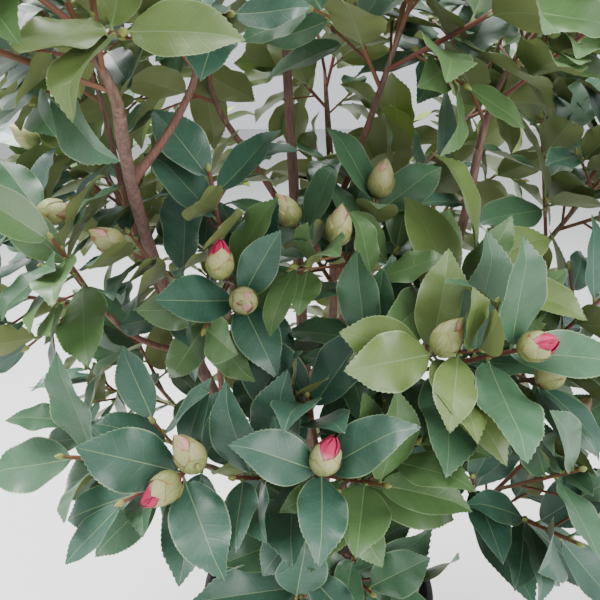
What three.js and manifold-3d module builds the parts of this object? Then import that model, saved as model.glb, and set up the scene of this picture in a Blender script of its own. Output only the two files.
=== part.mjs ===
// A camellia shrub in a black plastic nursery pot, in millimetres, +Z up.
// The origin is the middle of the pot's underside, and the plant's front faces -Y, with +X to its right.
// Four stems rise from a short trunk, boughs leave the stems, and each bough ends in one mass of leafy shoots.
import * as THREE from "three";
import { mergeVertices } from "three/addons/utils/BufferGeometryUtils.js";
import Module from "manifold-3d";

const wasm = await Module();
wasm.setup();

const DEGREE = Math.PI / 180;
const CLEAR = 0.3; // gap left where two pieces meet
const FAIR_FACE = 0.02; // height that a triangle has beside a good joint
const JOINT_RISES = [0, 0.1, -0.1, 0.2, -0.2, 0.3, -0.3, 0.4]; // tried in turn

// Pot and potting mix
const POT_HEIGHT = 280;
const POT_RIM_RADIUS = 150;
const POT_FOOT_RADIUS = 116;
const POT_WALL = 3;
const POT_FLOOR = 5;
const RIM_BAND = 26; // height of the band under the rim
const RIM_STEP = 5; // how far the band stands out from the wall
const LIP_WIDTH = 8;
const POT_SIDES = 28;
const DRAIN_HOLES = 4;
const DRAIN_RING = 111; // distance of the holes' middles from the pot's middle
const DRAIN_RADIUS = 9;
const DRAIN_SIDES = 8;
const DRAIN_REACH = 12; // how far up the wall each drain hole is cut
const SOIL_LEVEL = 256; // at the trunk
const SOIL_FALL = 8; // how much lower the mix lies at the wall
const SOIL_FLAT_RADIUS = 36;
const SOIL_INSET = 0.8; // kept clear of the pot's wall

// Limbs
const STEM_SIDES = 7;
const STEM_RINGS = 5;
const BOUGH_SIDES = 5;
const BOUGH_RINGS = 2;
const ROOT_FLARE = 9; // how much wider the trunk is at the ground
const FLARE_SHARE = 0.22; // share of the trunk's height in which the flare fades

// Twigs
const GOLDEN_ANGLE = 137.5 * DEGREE;
const LEADER_RADII = [3.4, 3.1];
const LEADER_SIDES = 4;
const LEADER_RINGS = 2;
const SHOOT_RADII = [2.3, 2.0];
const SHOOT_SUNK = 0.3; // how far a shoot's foot lies beyond its leader's middle, inside the leader
const FIRST_SHOOT = 0.1; // share of the leader below its first shoot
const SHOOT_TILT = [66 * DEGREE, 30 * DEGREE]; // from the leader, low and at its end
const SHOOT_TILT_SPREAD = 20 * DEGREE;
const SHOOT_TURN_SPREAD = 40 * DEGREE;
const SHOOT_LENGTH = [80, 122];
const OUTWARD_PULL = 0.35; // how strongly shoots turn away from the plant's middle
const UPWARD_PULL = 0.3;
const TWIG_CLEARANCE = 1.6; // kept free round every limb and twig
const MASS_REACH = 195; // the furthest a leaf goes from its mass's heart

// Leaves
const LEAVES_PER_SHOOT = 6;
const ROOT_OUT = 0.3; // how far a leaf's root lies out from its shoot's middle, inside the shoot
const LEAF_LENGTH = [80, 110];
const LEAF_WIDTH = [0.43, 0.52]; // share of its length
const END_SHRINK = 0.22; // how much shorter the last leaves of a shoot are
const RIDGE_HEIGHT = 1.7; // of the midrib over the blade's folded underside
const RIDGE_SHARE = 0.16; // where along the leaf the midrib is highest
const LEAF_GUARD = 1.0; // kept free of other leaves, over and under the blade
const LEAF_WIDEST = 0.44; // share of its length
const KITE_WIDENING = 1.16; // four-sided leaves are drawn wider than the rounded blade
const LEAF_TILT = [76 * DEGREE, 48 * DEGREE]; // from the shoot, low and at its end
const LEAF_TURN_SPREAD = 24 * DEGREE;
const LEAF_TILT_SPREAD = 16 * DEGREE;
const LEAF_ROLL_SPREAD = 50 * DEGREE;
const LEAF_SEED_STEP = 500; // keeps the leaves' series apart from the shoots'
const LEAF_FIRST = 0.2; // shares of the shoot below its first leaf and its last
const LEAF_LAST = 0.96;
const LEAF_CROWDING = 0.75; // under 1, leaves stand closer towards the shoot's end
const LEAF_RANKS = [90 * DEGREE, 120 * DEGREE]; // leaves leave the middles of a shoot's three sides in turn
const LIGHT_FROM = { above: 0.6, side: 0.5, ahead: 0.35 }; // what a leaf's upper face turns to
const LEAF_FOLD = [0.02, 0.07]; // height of the edges over the middle, as a share of the length

// Flower buds
const BUD_SIDES = 5;
const BUD_LENGTH = 29;
const BUD_RADIUS = 10.5;
const BUD_PROFILE = [[0, -0.1], [0.85, 0.16], [0.95, 0.55], [0, 1]]; // shares of its radius and its length
const BUD_SHARE = 0.2; // of the ruled shoots

// Each limb: its name, what it grows from and how far along that, the point it bends towards, its tip,
// and its radii at the two ends.
const LIMBS = [
  ["trunk", null, 0, [0, 0, 300], [-2, 0, 345], [15, 12]],
  ["stem_centre", "trunk", 0.86, [-22, -6, 640], [-38, 5, 950], [9, 4.2]],
  ["stem_left", "trunk", 0.52, [-210, 55, 675], [-142, -190, 890], [9, 4.5]],
  ["stem_right", "trunk", 0.68, [130, 10, 560], [134, -57, 850], [8, 4]],
  ["stem_back", "trunk", 0.76, [30, 120, 600], [10, 135, 840], [8, 4]],
  ["bough_low_front", "trunk", 0.8, [5, -60, 400], [0, -105, 440], [4.5, 2.9]],
  ["bough_front", "stem_centre", 0.12, [0, -110, 480], [-5, -165, 575], [4.5, 2.9]],
  ["bough_front_left", "stem_left", 0.19, [-90, -90, 520], [-100, -165, 590], [4.5, 2.9]],
  ["bough_front_right", "stem_right", 0.38, [85, -60, 560], [75, -125, 650], [4.5, 2.9]],
  ["bough_right_front", "stem_right", 0.29, [130, -50, 540], [155, -95, 620], [4.5, 2.9]],
  ["bough_right", "stem_right", 0.6, [165, -20, 665], [205, -30, 735], [4.2, 2.9]],
  ["bough_low_right", "stem_right", 0.13, [100, -60, 430], [135, -115, 500], [4.5, 2.9]],
  ["bough_low_right_back", "stem_right", 0.2, [120, 40, 460], [165, 60, 535], [4.5, 2.9]],
  ["bough_centre", "stem_centre", 0.4, [0, -45, 640], [15, -70, 690], [4, 2.9]],
  ["bough_upper_front_right", "stem_centre", 0.6, [15, -45, 800], [36, -75, 880], [4, 2.9]],
  ["bough_upper_inner_left", "stem_centre", 0.69, [-50, 0, 800], [-93, -5, 865], [4, 2.9]],
  ["bough_upper_front_left", "stem_left", 0.88, [-125, -132, 865], [-108, -126, 897], [3.6, 2.9]],
  ["bough_upper_left", "stem_left", 0.54, [-190, -20, 730], [-199, -31, 864], [4.2, 2.9]],
  ["bough_left", "stem_left", 0.49, [-185, -50, 650], [-200, -75, 690], [4, 2.9]],
  ["bough_low_left", "stem_left", 0.18, [-130, 20, 460], [-160, 15, 520], [4.5, 2.9]],
  ["bough_low_back", "stem_back", 0.17, [40, 110, 440], [50, 150, 510], [4.5, 2.9]],
  ["bough_low_back_left", "stem_left", 0.22, [-70, 60, 450], [-110, 105, 530], [4.5, 2.9]],
  ["bough_left_back", "stem_left", 0.4, [-170, 20, 640], [-195, 70, 700], [4.2, 2.9]],
  ["bough_upper_right_back", "stem_back", 0.65, [80, 100, 760], [125, 60, 830], [4, 2.9]],
  ["bough_inner_left", "stem_left", 0.31, [-120, -30, 610], [-95, -65, 690], [4, 2.9]],
  ["bough_inner", "stem_centre", 0.36, [20, 10, 640], [45, 20, 690], [4, 2.9]],
  ["bough_back_left", "stem_back", 0.41, [-70, 120, 600], [-115, 135, 690], [4.2, 2.9]],
  ["bough_back_right", "stem_back", 0.45, [90, 110, 620], [130, 120, 700], [4.2, 2.9]],
];

// Each mass: its name, the limb it ends, its heart, the number of ruled shoots, its seed,
// and, for each large bud seen from the front, its shoot's tip and the way it faces.
const MASSES = [
  ["leaves_low_front", "bough_low_front", [0, -155, 485], 4, 35, []],
  ["leaves_front", "bough_front", [-5, -190, 605], 3, 166, [[[-10, -256, 657], [0.3, 0, 0.92]]]],
  ["leaves_front_left", "bough_front_left", [-112, -190, 615], 2, 70, [
    [[-94, -254, 658], [-0.5, 0, 0.9]],
    [[-108, -257, 653], [-0.75, -0.56, -0.31]],
  ]],
  ["leaves_front_right", "bough_front_right", [78, -150, 690], 3, 148, [[[73, -216, 729], [0.55, 0.07, 0.84]]]],
  ["leaves_right_front", "bough_right_front", [170, -125, 660], 3, 37, [[[162, -197, 691], [0.35, -0.05, 0.94]]]],
  ["leaves_right", "bough_right", [235, -50, 800], 4, 70, []],
  ["leaves_low_right", "bough_low_right", [160, -155, 560], 4, 63, []],
  ["leaves_low_right_back", "bough_low_right_back", [205, 75, 590], 4, 3, []],
  ["leaves_centre", "bough_centre", [30, -100, 740], 3, 90, [[[5, -143, 788], [0.1, 0, 0.97]]]],
  ["leaves_upper_front_right", "bough_upper_front_right", [55, -85, 945], 4, 90, []],
  ["leaves_upper_inner_left", "bough_upper_inner_left", [-110, 15, 930], 4, 11, []],
  ["leaves_upper_front_left", "bough_upper_front_left", [-100, -125, 960], 4, 10, []],
  ["leaves_upper_left", "bough_upper_left", [-215, -30, 930], 4, 184, []],
  ["leaves_left", "bough_left", [-222, -95, 740], 3, 128, [[[-236, -117, 807], [0.95, -0.28, 0.11]]]],
  ["leaves_low_left", "bough_low_left", [-195, 15, 575], 3, 6, []],
  ["leaves_low_back", "bough_low_back", [60, 190, 565], 3, 4, []],
  ["leaves_low_back_left", "bough_low_back_left", [-125, 165, 595], 3, 1, []],
  ["leaves_left_back", "bough_left_back", [-235, 85, 770], 4, 3, []],
  ["leaves_upper_right_back", "bough_upper_right_back", [180, 70, 895], 4, 3, []],
  ["leaves_inner_left", "bough_inner_left", [-85, -90, 735], 3, 40, [[[-87, -156, 764], [0.05, 0.12, 0.97]]]],
  ["leaves_inner", "bough_inner", [60, 30, 765], 3, 2, []],
  ["leaves_back_left", "bough_back_left", [-145, 160, 750], 3, 1, []],
  ["leaves_back_right", "bough_back_right", [165, 145, 760], 3, 3, []],
  ["leaves_upper_right", "stem_right", [150, -60, 915], 4, 7, []],
  ["leaves_upper_back", "stem_back", [5, 155, 910], 3, 5, []],
  ["leaves_top", "stem_centre", [-40, 5, 1020], 4, 3, []],
  ["leaves_top_left", "stem_left", [-160, -210, 945], 4, 16, []],
];

const vector = (x, y, z) => new THREE.Vector3(x, y, z);
const point = (place) => new THREE.Vector3(...place);
const between = ([low, high], share) => low + (high - low) * share;
const UP = vector(0, 0, 1);

// A repeatable series of numbers from 0 to 1.
function seeded(seed) {
  let state = seed * 7919 + 12345;
  const next = () => {
    state = (state * 1664525 + 1013904223) % 4294967296;
    return state / 4294967296;
  };
  next();
  next();
  return next;
}

// Two directions square to an axis and to each other, with side x axis = up. Axes that share a way are
// squared alike.
function squareTo(axis, way = axis) {
  const reference = Math.abs(way.y) < 0.8 ? vector(0, 1, 0) : vector(1, 0, 0);
  const side = vector(0, 0, 0).crossVectors(axis, reference).normalize();
  return { side, up: vector(0, 0, 0).crossVectors(side, axis) };
}

const turned = (direction, axis, angle) => direction.clone().applyAxisAngle(axis, angle);

const bent = (start, bend, end) => new THREE.QuadraticBezierCurve3(start, bend, end);

// A closed tapering tube: a cylinder whose rings are laid along a curve.
function tube(curve, radiusAt, sides, rings) {
  const geometry = new THREE.CylinderGeometry(1, 1, 1, sides, rings);
  const places = geometry.getAttribute("position");
  const way = curve.getPoint(1).sub(curve.getPoint(0)).normalize();
  const stops = Array.from({ length: rings + 1 }, (_, i) => {
    const t = i / rings;
    return { centre: curve.getPoint(t), radius: radiusAt(t), ...squareTo(curve.getTangent(t), way) };
  });
  for (let i = 0; i < places.count; i++) {
    const { centre, radius, side, up } = stops[Math.round((places.getY(i) + 0.5) * rings)];
    const moved = centre.clone();
    moved.addScaledVector(side, places.getX(i) * radius);
    moved.addScaledVector(up, places.getZ(i) * radius);
    places.setXYZ(i, moved.x, moved.y, moved.z);
  }
  return geometry;
}

function welded(geometry) {
  const bare = geometry.index ? geometry : mergeVertices(geometry);
  bare.deleteAttribute("normal");
  bare.deleteAttribute("uv");
  return mergeVertices(bare, 1e-4);
}

function solidOf(geometry) {
  const closed = welded(geometry);
  const vertProperties = new Float32Array(closed.getAttribute("position").array);
  const triVerts = new Uint32Array(closed.index.array);
  return new wasm.Manifold(new wasm.Mesh({ numProp: 3, vertProperties, triVerts }));
}

function geometryOf(solid) {
  const mesh = solid.getMesh();
  return new THREE.BufferGeometry()
    .setAttribute("position", new THREE.BufferAttribute(new Float32Array(mesh.vertProperties), 3))
    .setIndex(new THREE.BufferAttribute(new Uint32Array(mesh.triVerts), 1));
}

const largest = (solid) =>
  solid.decompose().reduce((best, piece) => (piece.volume() > best.volume() ? piece : best));

// A guard is the faces and edges of a closed shape, to test whether two shapes meet.
function guardOf(points, triangles) {
  const box = new THREE.Box3().setFromPoints(points);
  const seen = new Set();
  const edges = [];
  for (const [a, b, c] of triangles) {
    for (const [p, q] of [[a, b], [b, c], [c, a]]) {
      const key = p < q ? `${p}_${q}` : `${q}_${p}`;
      if (!seen.has(key)) edges.push([points[p], points[q]]);
      seen.add(key);
    }
  }
  return { box, edges, faces: triangles.map((corners) => corners.map((i) => points[i])) };
}

function guardOfTube(curve, radiusAt, margin, sides, rings) {
  return guardOfGeometry(tube(curve, (t) => radiusAt(t) + margin, sides, rings));
}

function guardOfGeometry(geometry) {
  const closed = welded(geometry);
  const places = closed.getAttribute("position");
  const points = Array.from({ length: places.count }, (_, i) => vector(0, 0, 0).fromBufferAttribute(places, i));
  const index = closed.index.array;
  const triangles = Array.from({ length: index.length / 3 }, (_, i) => [...index.slice(3 * i, 3 * i + 3)]);
  return guardOf(points, triangles);
}

// True if the edge from p to q goes through the triangle.
function goesThrough([p, q], [a, b, c]) {
  const [dx, dy, dz] = [q.x - p.x, q.y - p.y, q.z - p.z];
  const [ux, uy, uz] = [b.x - a.x, b.y - a.y, b.z - a.z];
  const [vx, vy, vz] = [c.x - a.x, c.y - a.y, c.z - a.z];
  const [hx, hy, hz] = [dy * vz - dz * vy, dz * vx - dx * vz, dx * vy - dy * vx];
  const size = ux * hx + uy * hy + uz * hz;
  if (Math.abs(size) < 1e-9) return false;
  const [sx, sy, sz] = [p.x - a.x, p.y - a.y, p.z - a.z];
  const across = (sx * hx + sy * hy + sz * hz) / size;
  if (across < 0 || across > 1) return false;
  const [kx, ky, kz] = [sy * uz - sz * uy, sz * ux - sx * uz, sx * uy - sy * ux];
  const along = (dx * kx + dy * ky + dz * kz) / size;
  if (along < 0 || across + along > 1) return false;
  const reach = (vx * kx + vy * ky + vz * kz) / size;
  return reach >= 0 && reach <= 1;
}

const pierces = (a, b) => a.edges.some((edge) => b.faces.some((face) => goesThrough(edge, face)));
const meet = (a, b) => a.box.intersectsBox(b.box) && (pierces(a, b) || pierces(b, a));
const meetsAny = (guard, others) => others.some((other) => meet(guard, other));

// Limbs

function growLimbs() {
  const limbs = new Map();
  for (const [name, parent, at, bend, tip, [base, end]] of LIMBS) {
    const start = parent ? limbs.get(parent).curve.getPoint(at) : vector(0, 0, SOIL_LEVEL + CLEAR);
    const curve = bent(start, point(bend), point(tip));
    const flare = parent ? 0 : ROOT_FLARE;
    const [sides, rings] = name.startsWith("bough") ? [BOUGH_SIDES, BOUGH_RINGS] : [STEM_SIDES, STEM_RINGS];
    const radiusAt = (t) => base + (end - base) * t + flare * Math.exp(-t / FLARE_SHARE);
    const guard = guardOfTube(curve, radiusAt, TWIG_CLEARANCE, sides, rings);
    limbs.set(name, { curve, radiusAt, sides, rings, guard });
  }
  return limbs;
}

// Each limb is cut clear of those before it, so that it starts at its parent's bark.
function limbSolids(limbs) {
  const grown = [];
  const solids = new Map();
  for (const [name, { curve, radiusAt, sides, rings }] of limbs) {
    const whole = solidOf(tube(curve, radiusAt, sides, rings));
    const left = largest(grown.reduce((solid, other) => solid.subtract(other), whole));
    solids.set(name, left);
    grown.push(solidOf(tube(curve, (t) => radiusAt(t) + CLEAR, sides, rings)));
  }
  return solids;
}

// Twigs

function twig(curve, radii, sides, rings) {
  const radiusAt = (t) => between(radii, t);
  return { curve, radiusAt, sides, rings, guard: guardOfTube(curve, radiusAt, TWIG_CLEARANCE, sides, rings) };
}

function leaderOf(limb, heart) {
  const along = limb.curve.getTangent(1);
  const start = limb.curve.getPoint(1).addScaledVector(along, CLEAR);
  const bend = start.clone().addScaledVector(along, start.distanceTo(heart) / 2);
  return twig(bent(start, bend, heart), LEADER_RADII, LEADER_SIDES, LEADER_RINGS);
}

function shootTo(root, tip) {
  return twig(new THREE.LineCurve3(root, tip), SHOOT_RADII, 3, 1);
}

// Turns in degrees and shares of the length that a shoot tries until it touches nothing.
const SHOOT_TRIES = [
  [0, 1], [40, 0.92], [-40, 0.92], [80, 0.85], [-80, 0.85], [120, 0.75], [-120, 0.7], [180, 0.6],
];

function ruledShoot(leader, heart, station, turn, draw, blockers) {
  const jitter = [draw(), draw(), draw()];
  const root = leader.curve.getPoint(station);
  const axis = leader.curve.getTangent(station);
  const { side } = squareTo(axis);
  const outward = vector(heart.x, heart.y, 0).normalize();
  const tilt = between(SHOOT_TILT, station) + (jitter[0] - 0.5) * SHOOT_TILT_SPREAD;
  const length = between(SHOOT_LENGTH, jitter[1]);
  for (const [swing, share] of SHOOT_TRIES) {
    const radial = turned(side, axis, turn + (jitter[2] - 0.5) * SHOOT_TURN_SPREAD + swing * DEGREE);
    const direction = axis.clone().multiplyScalar(Math.cos(tilt)).addScaledVector(radial, Math.sin(tilt));
    direction.addScaledVector(outward, OUTWARD_PULL).addScaledVector(UP, UPWARD_PULL).normalize();
    const shoot = shootTo(root, root.clone().addScaledVector(direction, length * share));
    if (!meetsAny(shoot.guard, blockers)) return shoot;
  }
  return null;
}

function growTwigs(limbs) {
  const blockers = [...limbs.values()].map((limb) => limb.guard);
  return MASSES.map(([name, limbName, place, ruled, seed, heads]) => {
    const draw = seeded(seed);
    const heart = point(place);
    const leader = leaderOf(limbs.get(limbName), heart);
    const shoots = [];
    const count = heads.length + ruled;
    const others = blockers.filter((guard) => guard !== limbs.get(limbName).guard);
    for (let k = 0; k < count; k++) {
      const station = FIRST_SHOOT + ((1 - FIRST_SHOOT) * (k + 1)) / count;
      const head = heads[k - ruled];
      const shoot = head
        ? shootTo(leader.curve.getPoint(station), point(head[0]))
        : ruledShoot(leader, heart, station, k * GOLDEN_ANGLE, draw, others);
      if (!shoot) continue;
      shoot.budded = Boolean(head) || draw() < BUD_SHARE;
      shoot.budWay = head ? point(head[1]).normalize() : shoot.curve.getTangent(1);
      shoots.push(shoot);
      others.push(shoot.guard);
      blockers.push(shoot.guard);
    }
    blockers.push(leader.guard);
    return { name, seed, heart, leader, shoots };
  });
}

// Leaves

const KITE_FACES = [[0, 2, 4], [2, 1, 4], [1, 3, 4], [3, 0, 4], [0, 1, 2], [1, 0, 3]];

// The five corners of a leaf: root, tip, right, left, and the top of its midrib. A guard is thicker.
function leafCorners({ root, along, face, length, width, fold }, guard = 0) {
  const side = vector(0, 0, 0).crossVectors(along, face);
  const half = (KITE_WIDENING * width) / 2;
  const at = (share, across, height) =>
    root
      .clone()
      .addScaledVector(along, share * length)
      .addScaledVector(side, across)
      .addScaledVector(face, height);
  return [
    root,
    at(1, 0, -guard),
    at(LEAF_WIDEST, half, fold * length),
    at(LEAF_WIDEST, -half, fold * length),
    at(RIDGE_SHARE, 0, RIDGE_HEIGHT + guard),
  ];
}

// Turns and leans in degrees and shares of the length that a leaf tries until it touches nothing.
const LEAF_TRIES = [
  [0, 0, 1], [15, 0, 1], [-15, 0, 1], [0, 16, 0.95], [0, -12, 0.92], [120, 4, 0.92], [-120, 4, 0.92],
  [20, 25, 0.85], [-20, 25, 0.85], [110, 15, 0.8], [-110, 15, 0.8], [0, 10, 0.7],
];

function placeLeaf(shoot, share, turn, draw, heart, blockers) {
  const jitter = Array.from({ length: 6 }, draw);
  const middle = shoot.curve.getPoint(share);
  const axis = shoot.curve.getTangent(share);
  const { side } = squareTo(axis);
  const length = between(LEAF_LENGTH, jitter[0]) * (1 - END_SHRINK * share * share);
  const width = between(LEAF_WIDTH, jitter[1]) * length;
  const fold = between(LEAF_FOLD, jitter[2]);
  for (const [swing, lean, size] of LEAF_TRIES) {
    const radial = turned(side, axis, turn + (jitter[3] - 0.5) * LEAF_TURN_SPREAD + swing * DEGREE);
    const tilt = between(LEAF_TILT, share) + (jitter[4] - 0.5) * LEAF_TILT_SPREAD + lean * DEGREE;
    const along = axis.clone().multiplyScalar(Math.cos(tilt)).addScaledVector(radial, Math.sin(tilt));
    const light = vector(middle.x, middle.y, 0).normalize().multiplyScalar(LIGHT_FROM.side);
    light.addScaledVector(UP, LIGHT_FROM.above).addScaledVector(axis, LIGHT_FROM.ahead);
    light.addScaledVector(along, -light.dot(along)).normalize();
    const face = turned(light, along, (jitter[5] - 0.5) * LEAF_ROLL_SPREAD);
    const root = middle.clone().addScaledVector(radial, ROOT_OUT);
    const leaf = { root, along, face, length: length * size, width: width * size, fold };
    const guard = guardOf(leafCorners(leaf, LEAF_GUARD), KITE_FACES);
    const far = leafCorners(leaf).some((corner) => corner.distanceTo(heart) > MASS_REACH);
    if (!far && !meetsAny(guard, blockers)) return { ...leaf, guard };
  }
  return null;
}

function growLeaves(limbs, masses) {
  const limbGuards = [...limbs.values()].map((limb) => limb.guard);
  const twigs = masses.flatMap((mass) => [mass.leader, ...mass.shoots]);
  const budded = masses.flatMap((mass) => mass.shoots).filter((shoot) => shoot.budded);
  const placed = budded.map((shoot) => guardOfGeometry(budGeometry(shoot)));
  for (const mass of masses) {
    const draw = seeded(mass.seed + LEAF_SEED_STEP);
    mass.leaves = [];
    for (const shoot of mass.shoots) {
      const others = twigs.filter((other) => other !== shoot).map((other) => other.guard);
      for (let k = 0; k < LEAVES_PER_SHOOT; k++) {
        const share = LEAF_FIRST + (LEAF_LAST - LEAF_FIRST) * ((k + 0.6) / LEAVES_PER_SHOOT) ** LEAF_CROWDING;
        const leaf = placeLeaf(shoot, share, LEAF_RANKS[0] + k * LEAF_RANKS[1], draw, mass.heart, [
          ...limbGuards,
          ...others,
          ...placed,
        ]);
        if (!leaf) continue;
        mass.leaves.push(leaf);
        placed.push(leaf.guard);
      }
    }
  }
}

function leafGeometry(leaf) {
  const places = leafCorners(leaf).flatMap((corner) => corner.toArray());
  return new THREE.BufferGeometry()
    .setAttribute("position", new THREE.Float32BufferAttribute(places, 3))
    .setIndex(KITE_FACES.flat());
}

// Flower buds: a fat egg with a blunt point, standing on the shoot's tip.
function budGeometry(shoot) {
  const outline = BUD_PROFILE.map(([r, h]) => new THREE.Vector2(r * BUD_RADIUS, h * BUD_LENGTH));
  const geometry = new THREE.LatheGeometry(outline, BUD_SIDES);
  const upright = vector(0, 1, 0);
  geometry.applyQuaternion(new THREE.Quaternion().setFromUnitVectors(upright, shoot.budWay));
  return geometry.translate(...shoot.curve.getPoint(1).toArray());
}

// How far a solid's triangles fall short of a fair height, in all.
function slenderness(solid) {
  const { vertProperties, triVerts } = solid.getMesh();
  const corner = (i) => vector(...vertProperties.slice(3 * i, 3 * i + 3));
  let short = 0;
  for (let i = 0; i < triVerts.length; i += 3) {
    const [a, b, c] = [corner(triVerts[i]), corner(triVerts[i + 1]), corner(triVerts[i + 2])];
    const longest = Math.max(a.distanceTo(b), b.distanceTo(c), c.distanceTo(a));
    const height = (2 * new THREE.Triangle(a, b, c).getArea()) / longest;
    short += Math.max(0, 1 - height / FAIR_FACE) ** 4;
  }
  return short;
}

// Joins a piece to a solid, moved a little up or down where that makes fewer needle-thin faces.
function fused(solid, geometry) {
  const before = slenderness(solid);
  let best = null;
  for (const rise of JOINT_RISES) {
    const joined = solid.add(solidOf(geometry.clone().translate(0, 0, rise)));
    const worse = slenderness(joined) - before;
    if (!best || worse < best.worse) best = { joined, worse };
    if (worse <= 0) break;
  }
  return best.joined;
}

function shootGeometry({ curve, radiusAt, sides, rings }) {
  const foot = curve.getPoint(0).addScaledVector(curve.getTangent(0), -SHOOT_SUNK);
  return tube(new THREE.LineCurve3(foot, curve.getPoint(1)), radiusAt, sides, rings);
}

function massSolid(mass) {
  const shoots = mass.shoots.map(shootGeometry);
  const leaves = mass.leaves.map(leafGeometry);
  const buds = mass.shoots.filter((shoot) => shoot.budded).map(budGeometry);
  const { curve, radiusAt, sides, rings } = mass.leader;
  return largest([...shoots, ...buds, ...leaves].reduce(fused, solidOf(tube(curve, radiusAt, sides, rings))));
}

// Pot

const potRadiusAt = (height) => between([POT_FOOT_RADIUS, POT_RIM_RADIUS - LIP_WIDTH], height / POT_HEIGHT);

function lathe(profile, sides) {
  const outline = profile.map(([r, z]) => new THREE.Vector2(r, z));
  return new THREE.LatheGeometry(outline, sides).rotateX(Math.PI / 2);
}

function potSolid() {
  const bandFoot = POT_HEIGHT - RIM_BAND;
  const body = solidOf(
    lathe(
      [
        [0, 0],
        [POT_FOOT_RADIUS, 0],
        [potRadiusAt(bandFoot), bandFoot],
        [potRadiusAt(bandFoot) + RIM_STEP, bandFoot + 1],
        [POT_RIM_RADIUS, POT_HEIGHT - 2],
        [POT_RIM_RADIUS - 2, POT_HEIGHT],
        [POT_RIM_RADIUS - LIP_WIDTH, POT_HEIGHT],
        [potRadiusAt(bandFoot) - POT_WALL + 1, bandFoot],
        [potRadiusAt(POT_FLOOR) - POT_WALL, POT_FLOOR],
        [0, POT_FLOOR],
      ],
      POT_SIDES,
    ),
  );
  const drains = Array.from({ length: DRAIN_HOLES }, (_, i) => {
    const angle = ((i + 0.5) / DRAIN_HOLES) * 2 * Math.PI;
    const hole = new THREE.CylinderGeometry(DRAIN_RADIUS, DRAIN_RADIUS, 2 * DRAIN_REACH, DRAIN_SIDES);
    hole.rotateX(Math.PI / 2);
    return solidOf(hole.translate(DRAIN_RING * Math.cos(angle), DRAIN_RING * Math.sin(angle), 0));
  });
  return body.subtract(wasm.Manifold.union(drains));
}

function soilSolid() {
  const edge = SOIL_LEVEL - SOIL_FALL;
  const wallAt = (height) => potRadiusAt(height) - POT_WALL - SOIL_INSET;
  return solidOf(
    lathe(
      [
        [0, POT_FLOOR + CLEAR],
        [wallAt(POT_FLOOR), POT_FLOOR + CLEAR],
        [wallAt(edge), edge],
        [SOIL_FLAT_RADIUS, SOIL_LEVEL],
        [0, SOIL_LEVEL],
      ],
      POT_SIDES,
    ),
  );
}

// Materials, one for each kind of surface

const surface = (color, roughness) => new THREE.MeshStandardMaterial({ color, roughness, metalness: 0 });
const MATERIALS = {
  pot: surface("#2b2a2e", 0.5),
  soil: surface("#3a2c22", 0.95),
  bark: surface("#6b4a40", 0.8),
  leaves: surface("#3d6344", 0.4),
};

const shrub = new THREE.Group();
shrub.name = "camellia_shrub";

function add(name, solid, material) {
  const mesh = new THREE.Mesh(geometryOf(solid), material);
  mesh.name = name;
  shrub.add(mesh);
}

add("pot", potSolid(), MATERIALS.pot);
add("potting_mix", soilSolid(), MATERIALS.soil);
const limbs = growLimbs();
for (const [name, solid] of limbSolids(limbs)) add(name, solid, MATERIALS.bark);
const masses = growTwigs(limbs);
growLeaves(limbs, masses);
for (const mass of masses) add(mass.name, massSolid(mass), MATERIALS.leaves);

export default shrub;
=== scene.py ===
"""A camellia shrub in its nursery pot: bark, shoots, toothed leaves, flower buds, pot and potting mix."""

import functools
import math

import bpy
import numpy as np
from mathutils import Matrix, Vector, noise


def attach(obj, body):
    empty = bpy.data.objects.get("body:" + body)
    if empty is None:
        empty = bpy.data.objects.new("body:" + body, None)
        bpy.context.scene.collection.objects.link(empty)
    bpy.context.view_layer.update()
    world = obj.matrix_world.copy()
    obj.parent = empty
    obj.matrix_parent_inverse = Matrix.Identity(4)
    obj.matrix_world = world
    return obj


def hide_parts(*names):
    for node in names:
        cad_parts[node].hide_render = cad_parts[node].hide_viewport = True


bl_info = {
    "name": "Potted Camellia",
    "version": (1, 0, 0),
    "blender": (4, 5, 0),
    "location": "View3D > Sidebar > Camellia",
    "description": "Builds a camellia shrub in its pot, from the bark to the flower buds",
    "category": "Object",
}

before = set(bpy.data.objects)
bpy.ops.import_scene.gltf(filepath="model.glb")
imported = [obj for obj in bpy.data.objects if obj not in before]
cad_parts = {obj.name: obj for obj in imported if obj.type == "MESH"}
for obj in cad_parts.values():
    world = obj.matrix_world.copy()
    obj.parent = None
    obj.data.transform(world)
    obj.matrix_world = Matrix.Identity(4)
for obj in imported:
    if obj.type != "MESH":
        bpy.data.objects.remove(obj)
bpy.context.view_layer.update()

MM = 0.001
BODY = "root"
DEGREE = math.pi / 180

# Faces that meet at more than this get a crisp edge, such as a leaf's margin
CREASE = 80 * DEGREE

# Limbs and twigs of the growing rule, in millimetres
CLEAR = 0.3
SOIL_LEVEL = 256
STEM_SIDES = 7
STEM_RINGS = 5
BOUGH_SIDES = 5
BOUGH_RINGS = 2
ROOT_FLARE = 9
FLARE_SHARE = 0.22
GOLDEN_ANGLE = 137.5 * DEGREE
LEADER_RADII = (3.4, 3.1)
LEADER_SIDES = 4
LEADER_RINGS = 2
SHOOT_RADII = (2.3, 2.0)
FIRST_SHOOT = 0.1
SHOOT_TILT = (66 * DEGREE, 30 * DEGREE)
SHOOT_TILT_SPREAD = 20 * DEGREE
SHOOT_TURN_SPREAD = 40 * DEGREE
SHOOT_LENGTH = (80, 122)
OUTWARD_PULL = 0.35
UPWARD_PULL = 0.3
TWIG_CLEARANCE = 1.6
MASS_REACH = 195
BUD_SHARE = 0.2

# What a shoot tries in turn: a swing in degrees and a share of its length
SHOOT_TRIES = ((0, 1), (40, 0.92), (-40, 0.92), (80, 0.85), (-80, 0.85), (120, 0.75), (-120, 0.7), (180, 0.6))

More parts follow.
